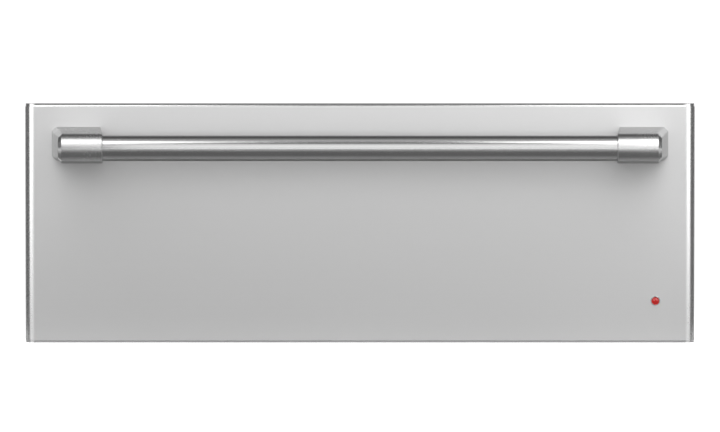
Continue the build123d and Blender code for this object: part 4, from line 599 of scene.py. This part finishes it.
def rivet(bm, matrix, radius, height):
    turned(bm, head_profile(RIVET_PROFILE, radius, height), matrix, steps=20)


def mirrored(points, direction):
    """A (point, direction) at each point and at its mirror image in x."""
    dx, dy, dz = direction
    return ([(point, direction) for point in points]
            + [((-x, y, z), (-dx, dy, dz)) for x, y, z in points])


def fasteners(name, head, places, shader, body, size):
    """Identical fasteners as one piece, each place a (point, direction that its head faces)."""
    def build(bm):
        for where, direction in places:
            head(bm, facing(where, direction), *size)
    piece(name, build, shader, body)


# Radius and height of each kind of head
CASE_SCREW, BACK_SCREW, COVER_SCREW = (0.0036, 0.0018), (0.0046, 0.0042), (0.0032, 0.0016)
TAB_SCREW, CROSSBAR_RIVET = (0.0042, 0.0021), (0.0032, 0.0012)

# Screws that hold the chassis panels, and the ones round the supply cover
top_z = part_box("chassis_top")[1][2]
side_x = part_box("chassis_right_side")[1][0]
back_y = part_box("chassis_back")[1][1]
cover_low, cover_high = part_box("junction_cover")
cover_x, cover_z = (cover_low[0] + cover_high[0]) / 2, (cover_low[2] + cover_high[2]) / 2
TOP_INSET, BACK_INSET, SIDE_Z = 0.007, 0.0075, 0.008
COVER_REACH_X, COVER_REACH_Z = 0.054, 0.029
top_points = [(side_x - TOP_INSET, y, top_z) for y in (0.06, 0.2, 0.34, 0.48, 0.56)]
side_points = [(side_x, y, SIDE_Z) for y in (0.06, 0.2, 0.34, 0.48, 0.55)]
back_points = [(side_x - BACK_INSET, back_y, z) for z in (0.03, 0.115, 0.2)]
cover_places = [((cover_x + i * COVER_REACH_X, back_y, cover_z + j * COVER_REACH_Z), TO_BACK)
                for i in (-1, 1) for j in (-1, 1)]
fasteners("top_screws", pan_head, mirrored(top_points, UP), BLUED_ZINC, "chassis", CASE_SCREW)
fasteners("side_screws", pan_head, mirrored(side_points, OUT), BLUED_ZINC, "chassis", CASE_SCREW)
fasteners("back_screws", hex_flange_head, mirrored(back_points, TO_BACK), BLUED_ZINC, "chassis",
          BACK_SCREW)
fasteners("cover_screws", pan_head, cover_places, BLUED_ZINC, "chassis", COVER_SCREW)

# Drawer box: screws through the bracket tabs, rivets through the rear crossbar
TAB_SHEET, TAB_SCREW_X = 0.0012, 0.3362
RIVET_X, RIVET_Y = 0.3175, 0.493
tab_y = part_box("left_side_bracket")[0][1] + TAB_SHEET
tab_points = [(TAB_SCREW_X, tab_y, z) for z in (0.094, 0.144)]
rivet_points = [(RIVET_X, RIVET_Y, z) for z in (0.122, 0.154)]
fasteners("tab_screws", hex_flange_head, mirrored(tab_points, TO_BACK), ZINC, "drawer", TAB_SCREW)
fasteners("crossbar_rivets", rivet, mirrored(rivet_points, TO_BACK), ZINC, "drawer", CROSSBAR_RIVET)

# Drawn pan with a rolled rim, deep radii and a bead pressed into its floor
PAN_SHEET, PAN_RIM_WIDTH = 0.0008, 0.0074
PAN_CORNER, PAN_LEAST_CORNER = 0.028, 0.004
PAN_BEND, PAN_FOOT = 0.0030, 0.0110
# (distance outwards from the wall, dip as a share of the sheet)
PAN_BEAD = [(-0.034, 0), (-0.0325, 0.5), (-0.0275, 0.5), (-0.026, 0)]
pan_low, pan_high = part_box("drawer_pan")


def drawn_pan(bm):
    floor_z, rim_z = pan_low[2], pan_high[2]
    half_width = (pan_high[0] - pan_low[0]) / 2 - PAN_RIM_WIDTH
    half_length = (pan_high[1] - pan_low[1]) / 2 - PAN_RIM_WIDTH
    middle_y = (pan_low[1] + pan_high[1]) / 2
    bend, foot, sheet = PAN_BEND, PAN_FOOT, PAN_SHEET
    # (distance outwards from the wall, height), up the inside and down the outside
    inside = [(out, floor_z + sheet * (1 - dip)) for out, dip in PAN_BEAD]
    inside += arc((-sheet - foot, floor_z + sheet + foot), foot, -90, 0)
    inside += arc((bend, rim_z - bend), bend + sheet, 180, 90)
    rim = [(PAN_RIM_WIDTH - sheet / 2, rim_z), (PAN_RIM_WIDTH, rim_z - sheet / 2),
           (PAN_RIM_WIDTH, rim_z - sheet)]
    outside = arc((bend, rim_z - bend - sheet), bend, 90, 180)
    outside += arc((-foot, floor_z + foot), foot, 0, -90)
    outside += [(out, floor_z - sheet * dip) for out, dip in reversed(PAN_BEAD)]
    rings = []
    for out, z in inside + rim + outside:
        corner = max(PAN_CORNER + out, PAN_LEAST_CORNER)
        outline = rounded_rectangle(half_width + out, half_length + out, corner, middle_y, z)
        rings.append(ring(bm, outline, Matrix.Identity(4)))
    for first, second in zip(rings, rings[1:]):
        join_rings(bm, first, second)
    bm.faces.new(rings[0])
    bm.faces.new(rings[-1])


pan = piece("drawn_pan", drawn_pan, PAN_STEEL, "drawer")
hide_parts("drawer_pan")


# Wire and tube, each as a curve with a round section
def round_curve(name, thickness, roundness):
    curve = bpy.data.curves.new(name, "CURVE")
    curve.dimensions = "3D"
    curve.bevel_depth = thickness / 2
    curve.bevel_resolution = roundness
    curve.use_fill_caps = True
    return curve


def straight_wires(name, runs, thickness):
    curve = round_curve(name, thickness, 4)
    for run in runs:
        spline = curve.splines.new("POLY")
        spline.points.add(len(run) - 1)
        for point, where in zip(spline.points, run):
            point.co = (*where, 1)
    return curve


def bent_wire(name, corners, radius, thickness, cyclic=False):
    """Wire or tube along a path whose corners are bent to the radius."""
    straight_pull = 0.02
    curve = round_curve(name, thickness, 5)
    curve.resolution_u = 8
    corners = [Vector(c) for c in corners]
    count = len(corners)
    stops = []
    for i, corner in enumerate(corners):
        if not cyclic and i in (0, count - 1):
            stops.append((corner, corner, corner))
            continue
        back = (corners[i - 1] - corner).normalized()
        on = (corners[(i + 1) % count] - corner).normalized()
        reach = radius / math.tan(back.angle(on) / 2)
        pull = radius * 4 / 3 * math.tan((math.pi - back.angle(on)) / 4)
        first, last = corner + back * reach, corner + on * reach
        stops.append((first, first + back * pull * straight_pull, first - back * pull))
        stops.append((last, last - on * pull, last + on * pull * straight_pull))
    spline = curve.splines.new("BEZIER")
    spline.bezier_points.add(len(stops) - 1)
    for point, (where, before, after) in zip(spline.bezier_points, stops):
        point.co = where
        point.handle_left = before
        point.handle_right = after
    spline.use_cyclic_u = cyclic
    return curve


def curve_piece(curve, shader, body):
    curve.materials.append(shader.material)
    made = new_object(curve.name, curve)
    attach(made, body)
    return made


# Round-wire rack: a bent frame, cross wires over it, and two bearers under it
FRAME_WIRE, CROSS_WIRE, BEARER_WIRE = 0.004, 0.003, 0.004
FRAME_CORNER = 0.018
RACK_Z, CROSS_RISE, BEARER_DROP = 0.0548, 0.00075, 0.00225
WIRE_COUNT = 13
rack_low, rack_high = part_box("serving_rack")
rack_x = rack_high[0] - FRAME_WIRE / 2
rack_ys = rack_low[1] + FRAME_WIRE / 2, rack_high[1] - FRAME_WIRE / 2
wire_xs = [rack_x * (2 * i / (WIRE_COUNT + 1) - 1) for i in range(1, WIRE_COUNT + 1)]
bearer_ys = [sum(rack_ys) / 2 + side * (rack_ys[1] - rack_ys[0]) / 6 for side in (-1, 1)]
frame_corners = [(rack_x, rack_ys[0], RACK_Z), (rack_x, rack_ys[1], RACK_Z),
                 (-rack_x, rack_ys[1], RACK_Z), (-rack_x, rack_ys[0], RACK_Z)]
crosses = [[(x, y, RACK_Z + CROSS_RISE) for y in rack_ys] for x in wire_xs]
bearers = [[(x, y, RACK_Z - BEARER_DROP) for x in (-rack_x, rack_x)] for y in bearer_ys]
frame_curve = bent_wire("rack_frame", frame_corners, FRAME_CORNER, FRAME_WIRE, cyclic=True)
rack_frame = curve_piece(frame_curve, WIRE_STEEL, "drawer")
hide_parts("serving_rack")
for name, runs, thickness in (("rack_wires", crosses, CROSS_WIRE),
                              ("rack_bearers", bearers, BEARER_WIRE)):
    wires = straight_wires(name, runs, thickness)
    curve_piece(wires, WIRE_STEEL, "drawer")

# Feet under the first, middle and last wires: (radius, height above the pan's floor), and the neck
FOOT_PROFILE = [(0.0012, 0.0001), (0.0021, 0.0004), (0.0025, 0.0012), (0.0025, 0.0056),
                (0.0021, 0.0064), (0.0015, 0.0066)]
FOOT_NECK, NECK_DROP = 0.0015, 0.003


def rack_feet(bm):
    foot_z = pan_low[2] + PAN_SHEET
    profile = [(radius, foot_z + height) for radius, height in FOOT_PROFILE]
    profile.append((FOOT_NECK, RACK_Z - NECK_DROP))
    for x in (wire_xs[0], 0, wire_xs[-1]):
        for y in bearer_ys:
            turned(bm, profile, Matrix.Translation((x, y, 0)), steps=16)


piece("rack_feet", rack_feet, SILICONE, "drawer")

# Bent tube of the heating element: in from the back, round the sides and in again at the front
ELEMENT_TUBE, ELEMENT_BEND = 0.0066, 0.024
TERMINAL_X, BACK_RUN_Y, INNER_SHARE, INNER_END_Y = 0.030, 0.466, 0.4, 0.370
element_low, element_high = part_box("heating_element")
outer_x = element_high[0] - ELEMENT_TUBE / 2
inner_x = outer_x * INNER_SHARE
front_run_y = element_low[1] + ELEMENT_TUBE / 2
element_z = (element_low[2] + element_high[2]) / 2
half_run = [(TERMINAL_X, element_high[1]), (TERMINAL_X, BACK_RUN_Y), (outer_x, BACK_RUN_Y),
            (outer_x, front_run_y), (inner_x, front_run_y), (inner_x, INNER_END_Y)]
run = ([(x, y, element_z) for x, y in half_run]
       + [(-x, y, element_z) for x, y in reversed(half_run)])
element_curve = bent_wire("element_tube", run, ELEMENT_BEND, ELEMENT_TUBE)
element = curve_piece(element_curve, SHEATH, "chassis")
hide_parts("heating_element")


# Bearing balls
def bodies_of(node):
    """Centre and half size of each separate solid in a CAD node."""
    bm = bmesh.new()
    bm.from_mesh(nodes[node].data)
    bmesh.ops.remove_doubles(bm, verts=bm.verts, dist=1e-6)
    left, found = dict.fromkeys(bm.verts), []
    while left:
        group, reached = [], [left.popitem()[0]]
        while reached:
            vert = reached.pop()
            group.append(vert.co.copy())
            for edge in vert.link_edges:
                other = edge.other_vert(vert)
                if other in left:
                    del left[other]
                    reached.append(other)
        low, high = ([pick(v[i] for v in group) for i in range(3)] for pick in (min, max))
        reach = max(b - a for a, b in zip(low, high)) / 2
        found.append((Vector(low).lerp(Vector(high), 0.5), reach))
    bm.free()
    return found


def ball_race(node):
    """The node's balls, made rounder."""
    def build(bm):
        for centre, radius in bodies_of(node):
            bmesh.ops.create_icosphere(bm, subdivisions=3, radius=radius,
                                       matrix=Matrix.Translation(centre))
    return build


for node, body in (("outer_balls", "outer_cages"), ("inner_balls", "inner_cages")):
    race = piece(node.replace("balls", "ball_race"), ball_race(node), BALL_STEEL, body, sharp=80)
    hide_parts(node)


# Generic marks in thin relief on the keys, and the level windows beside them
LEGEND = moulded_plastic("legend_white", (0.66, 0.67, 0.68, 1), 0.42, texture=1800, depth=3e-6)
WINDOW = moulded_plastic("window_amber", (0.42, 0.20, 0.03, 1), 0.25, texture=900, depth=3e-6,
                         coat=0.5)
MARK_HEIGHT, MARK_REACH, MARK_HALF = 0.00018, 0.0026, 0.0004
POWER_RING, POWER_GAP = (0.0022, 0.0029), (125, 415)
POWER_STROKE, POWER_STROKE_RISE = (0.00035, 0.0015), 0.0020


def bar_outline(half_width, half_height):
    corner = min(half_width, half_height) * 0.6
    return [(x, y) for x, y, z in rounded_rectangle(half_width, half_height, corner, 0, 0, steps=4)]


def arc_outline(inner, outer, start, end):
    far, near = (arc((0, 0), radius, start, end, steps=20) for radius in (outer, inner))
    return far + near[::-1]


def key_place(node):
    low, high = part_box(node)
    return ((low[0] + high[0]) / 2, low[1], (low[2] + high[2]) / 2)


def relief(bm, outline, node, rise=0.0):
    """Raise an (x, z) outline from the front of a key."""
    x0, y0, z0 = key_place(node)
    back, front = ([bm.verts.new((x0 + x, y0 - height, z0 + rise + z)) for x, z in outline]
                   for height in (0, MARK_HEIGHT))
    join_rings(bm, back, front)
    bm.faces.new(front)


def power_mark(bm):
    relief(bm, arc_outline(*POWER_RING, *POWER_GAP), "power_button")
    relief(bm, bar_outline(*POWER_STROKE), "power_button", POWER_STROKE_RISE)


def lower_mark(bm):
    relief(bm, bar_outline(MARK_REACH, MARK_HALF), "lower_button")


def higher_mark(bm):
    relief(bm, plus_outline(MARK_REACH, MARK_HALF), "higher_button")


for build, body in ((power_mark, "power_key"), (lower_mark, "lower_key"),
                    (higher_mark, "higher_key")):
    piece(build.__name__, build, LEGEND, body)

FASCIA_FACE = 0.005
WINDOW_COUNT, WINDOW_START, WINDOW_PITCH = 4, 0.030, 0.009
WINDOW_DOME = [(0.0019, 0), (0.0019, 0.0003), (0.0015, 0.00065), (0.0008, 0.0009),
               (0.0002, 0.00096)]
WINDOW_RIM = [(0.0019, 0), (0.0027, 0), (0.0027, 0.0003), (0.0024, 0.0005), (0.0020, 0.0005),
              (0.0019, 0.0003)]
first_window = key_place("higher_button")[0] + WINDOW_START
key_z = key_place("power_button")[2]
window_places = [facing((first_window + WINDOW_PITCH * i, FASCIA_FACE, key_z), TO_FRONT)
                 for i in range(WINDOW_COUNT)]


def level_windows(bm):
    for matrix in window_places:
        turned(bm, WINDOW_DOME, matrix, steps=20)


def window_rims(bm):
    for matrix in window_places:
        turned(bm, WINDOW_RIM, matrix, steps=24, close_start=False, close_end=False)


piece("level_windows", level_windows, WINDOW, "chassis")
piece("window_rims", window_rims, KEY_GREY, "chassis")


# ---------------------------------------------------------------- camera

# The picture's size and the front's place in it, in pixels, and the front's width in millimetres
PICTURE_WIDTH, PICTURE_HEIGHT = 720, 432
FRONT_PIXELS, FRONT_ROW, FRONT_WIDTH = 669.9, 223.4, 755.65
MM_PER_PIXEL = FRONT_WIDTH / FRONT_PIXELS
SIDE_SHIFT = 0.00005
DISTANCE = 10.0
ELEVATION = math.radians(2.5)
SENSOR = 36.0

panel_low, panel_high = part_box("front_skin")
panel_middle = Vector((0, panel_low[1], (panel_low[2] + panel_high[2]) / 2))
camera_data = bpy.data.cameras.new("camera")
camera_data.sensor_width = SENSOR
camera_data.lens = SENSOR * DISTANCE / (PICTURE_WIDTH * MM_PER_PIXEL * MM)
camera_data.clip_start = 0.5
camera_data.clip_end = 80.0
camera = new_object("camera", camera_data)
rise = (FRONT_ROW - PICTURE_HEIGHT / 2) * MM_PER_PIXEL * MM
aim = panel_middle + Vector((SIDE_SHIFT, 0, rise))
camera.location = aim + Vector((0, -math.cos(ELEVATION), math.sin(ELEVATION))) * DISTANCE
camera.rotation_euler = (math.pi / 2 - ELEVATION, 0, 0)
scene.camera = camera
scene.view_settings.view_transform = "Standard"


# ---------------------------------------------------------------- floor, card, flags and shelf

PAPER_ROUGHNESS, PAPER_GRAIN = 0.9, 40.0


def stage_paper(name, value, glow):
    """Matt paper that glows by itself towards the camera, gloss and glass, and keeps its shadow."""
    s = Shader(name)
    s.set(Roughness=PAPER_ROUGHNESS, Emission_Color=WHITE)
    # Laid out over the sheet's own box, not in metres
    grain = s.node("ShaderNodeTexNoise")
    grain.inputs["Scale"].default_value = PAPER_GRAIN
    s.colour(s.ramp(grain.outputs["Fac"], value - 0.01, value + 0.01))
    ray = s.node("ShaderNodeLightPath").outputs
    indirect = s.maths("ADD", ray["Is Glossy Ray"], ray["Is Transmission Ray"])
    seen = s.maths("ADD", ray["Is Camera Ray"], indirect, clamp=True)
    s.link(s.maths("MULTIPLY", seen, glow), s.surface.inputs["Emission Strength"])
    return s


def card_paper(name, tones):
    """Matt card, shaded in greys from its front edge to its back edge."""
    s = Shader(name)
    s.set(Roughness=PAPER_ROUGHNESS)
    start, end = tones[0][0], tones[-1][0]
    share = s.ramp(s.axes(s.place)["Y"], 0.0, 1.0, start, end)
    s.colour(s.greys(share, [((y - start) / (end - start), value) for y, value in tones], "EASE"))
    return s


def paper_quad(name, corners, paper):
    def build(bm):
        bm.faces.new([bm.verts.new(c) for c in corners])
    made = new_object(name, new_mesh(name, build))
    made.data.materials.append(paper.material)
    return made


# The floor is paper, white to gloss. A grey card lies over it in front, which only gloss sees, and
# shapes the light on the underside of the handle: dark in front, paler towards the drawer.
FLOOR_Z, FLOOR_REACH = -0.0186, 60
CARD_RISE, CARD_REACH = 0.001, 1.6
# (y, grey)
CARD_TONES = [(-3.0, 0.60), (-1.4, 0.50), (-0.8, 0.40), (-0.56, 0.12), (-0.18, 0.12), (-0.11, 0.24),
              (-0.05, 0.30), (0.02, 1.10)]
corner_signs = ((-1, -1), (1, -1), (1, 1), (-1, 1))
floor_corners = [(sx * FLOOR_REACH, sy * FLOOR_REACH, FLOOR_Z) for sx, sy in corner_signs]
floor = paper_quad("floor", floor_corners, stage_paper("floor_paper", 0.80, 0.9))
card_ys = {-1: CARD_TONES[0][0], 1: CARD_TONES[-1][0]}
card_corners = [(sx * CARD_REACH, card_ys[sy], FLOOR_Z + CARD_RISE) for sx, sy in corner_signs]
card = paper_quad("card", card_corners, card_paper("card_paper", CARD_TONES))

# Narrow black flags beside the front draw the dark line along the edge of each rolled side
FLAG_X, FLAG_YS, FLAG_ZS = 0.47, (-0.07, 0.06), (-0.015, 0.27)
flags = []
for name, side in (("left_flag", -1), ("right_flag", 1)):
    corners = [(side * FLAG_X, FLAG_YS[i], FLAG_ZS[j]) for i, j in ((0, 0), (1, 0), (1, 1), (0, 1))]
    flags.append(paper_quad(name, corners, stage_paper("flag_paper", 0.10, 0.12)))
for sheet in (card, *flags):
    sheet.visible_camera = False
    sheet.visible_diffuse = False
    sheet.visible_shadow = False
    sheet.visible_transmission = False

SHELF_REACH, SHELF_YS, SHELF_TOP, SHELF_BEVEL = 0.352, (0.016, 0.572), -0.0003, 0.003


def shelf_block(bm):
    low = Vector((-SHELF_REACH, SHELF_YS[0], FLOOR_Z))
    high = Vector((SHELF_REACH, SHELF_YS[1], SHELF_TOP))
    for vert in bmesh.ops.create_cube(bm, size=1.0)["verts"]:
        vert.co = [(a + b) / 2 + share * (b - a) for a, b, share in zip(low, high, vert.co)]
    bmesh.ops.bevel(bm, geom=list(bm.edges), offset=SHELF_BEVEL, segments=3, affect="EDGES")


shelf = new_object("shelf", new_mesh("shelf", shelf_block))
shelf.data.materials.append(stage_paper("shelf_paper", 0.80, 0.5).material)


# ---------------------------------------------------------------- world and lamps

# Grey of the studio's walls by the height of the direction, from the horizon to straight up
SKY_TONES = [(0.0, 0.12), (0.35, 0.46), (0.7, 0.20), (1.0, 0.42)]
# The walls are darker at the back: their share of that grey, and where it changes, by the
# direction's y
WALL_SHARE, WALL_TURN = (1.0, 0.35), (-0.2, 0.3)
# Gloss sees the white backdrop only in a narrow cone straight behind, fading in between these y
BACKDROP_CONE = (0.95, 0.98)

world = bpy.data.worlds.new("studio")
scene.world = world
world.use_nodes = True
studio = Nodes(world.node_tree)
direction = studio.axes(studio.node("ShaderNodeTexCoord").outputs["Generated"])
walls = studio.node("ShaderNodeVectorMath", operation="SCALE")
studio.link(studio.greys(direction["Z"], SKY_TONES), walls.inputs[0])
studio.link(studio.ramp(direction["Y"], *WALL_SHARE, *WALL_TURN), walls.inputs["Scale"])
behind = studio.ramp(direction["Y"], 0.0, 1.0, *BACKDROP_CONE)
ray = studio.node("ShaderNodeLightPath").outputs
gloss = studio.maths("MULTIPLY", ray["Is Glossy Ray"], behind)
# The camera and glass see the backdrop all round
clear = studio.maths("ADD", ray["Is Camera Ray"], ray["Is Transmission Ray"])
seen = studio.maths("ADD", clear, gloss, clamp=True)
background = studio.tree.nodes["Background"]
studio.link(studio.mix(seen, walls.outputs["Vector"], WHITE), background.inputs["Color"])


def softbox(name, where, target, size, power):
    data = bpy.data.lights.new(name, "AREA")
    data.shape = "RECTANGLE"
    data.size, data.size_y = size
    data.energy = power
    lamp = new_object(name, data)
    lamp.location = where
    lamp.rotation_euler = (Vector(target) - Vector(where)).to_track_quat("-Z", "Y").to_euler()
    lamp.visible_camera = False


# Name, place, aim, (width, height) and power
LAMPS = [
    ("near_box", (0.06, -0.8, 0.44), (0.06, 0, 0.26), (0.72, 0.64), 1.22),
    ("wide_box", (0, -2.2, 0.62), (0, 0, 0.3), (3.0, 1.2), 1.8),
    ("top_box", (0.04, -0.25, 0.92), (0.04, -0.03, 0.2), (1.0, 0.3), 0.22),
    ("left_box", (-0.77, -0.62, 0.96), (-0.40, -0.08, 0.2), (1.1, 0.95), 8.0),
    ("right_box", (0.77, -0.62, 0.96), (0.40, -0.08, 0.2), (1.1, 0.95), 9.4),
    ("left_strip", (-1.19, -1.05, 0.35), (-0.37, 0, 0.12), (1.16, 1.2), 7.5),
    ("right_strip", (1.19, -1.05, 0.35), (0.37, 0, 0.12), (1.16, 1.2), 7.5),
    ("back_box", (0, 2.2, 1.8), (0, 0.3, 0.1), (2.4, 1.2), 3.5),
]
for lamp in LAMPS:
    softbox(*lamp)
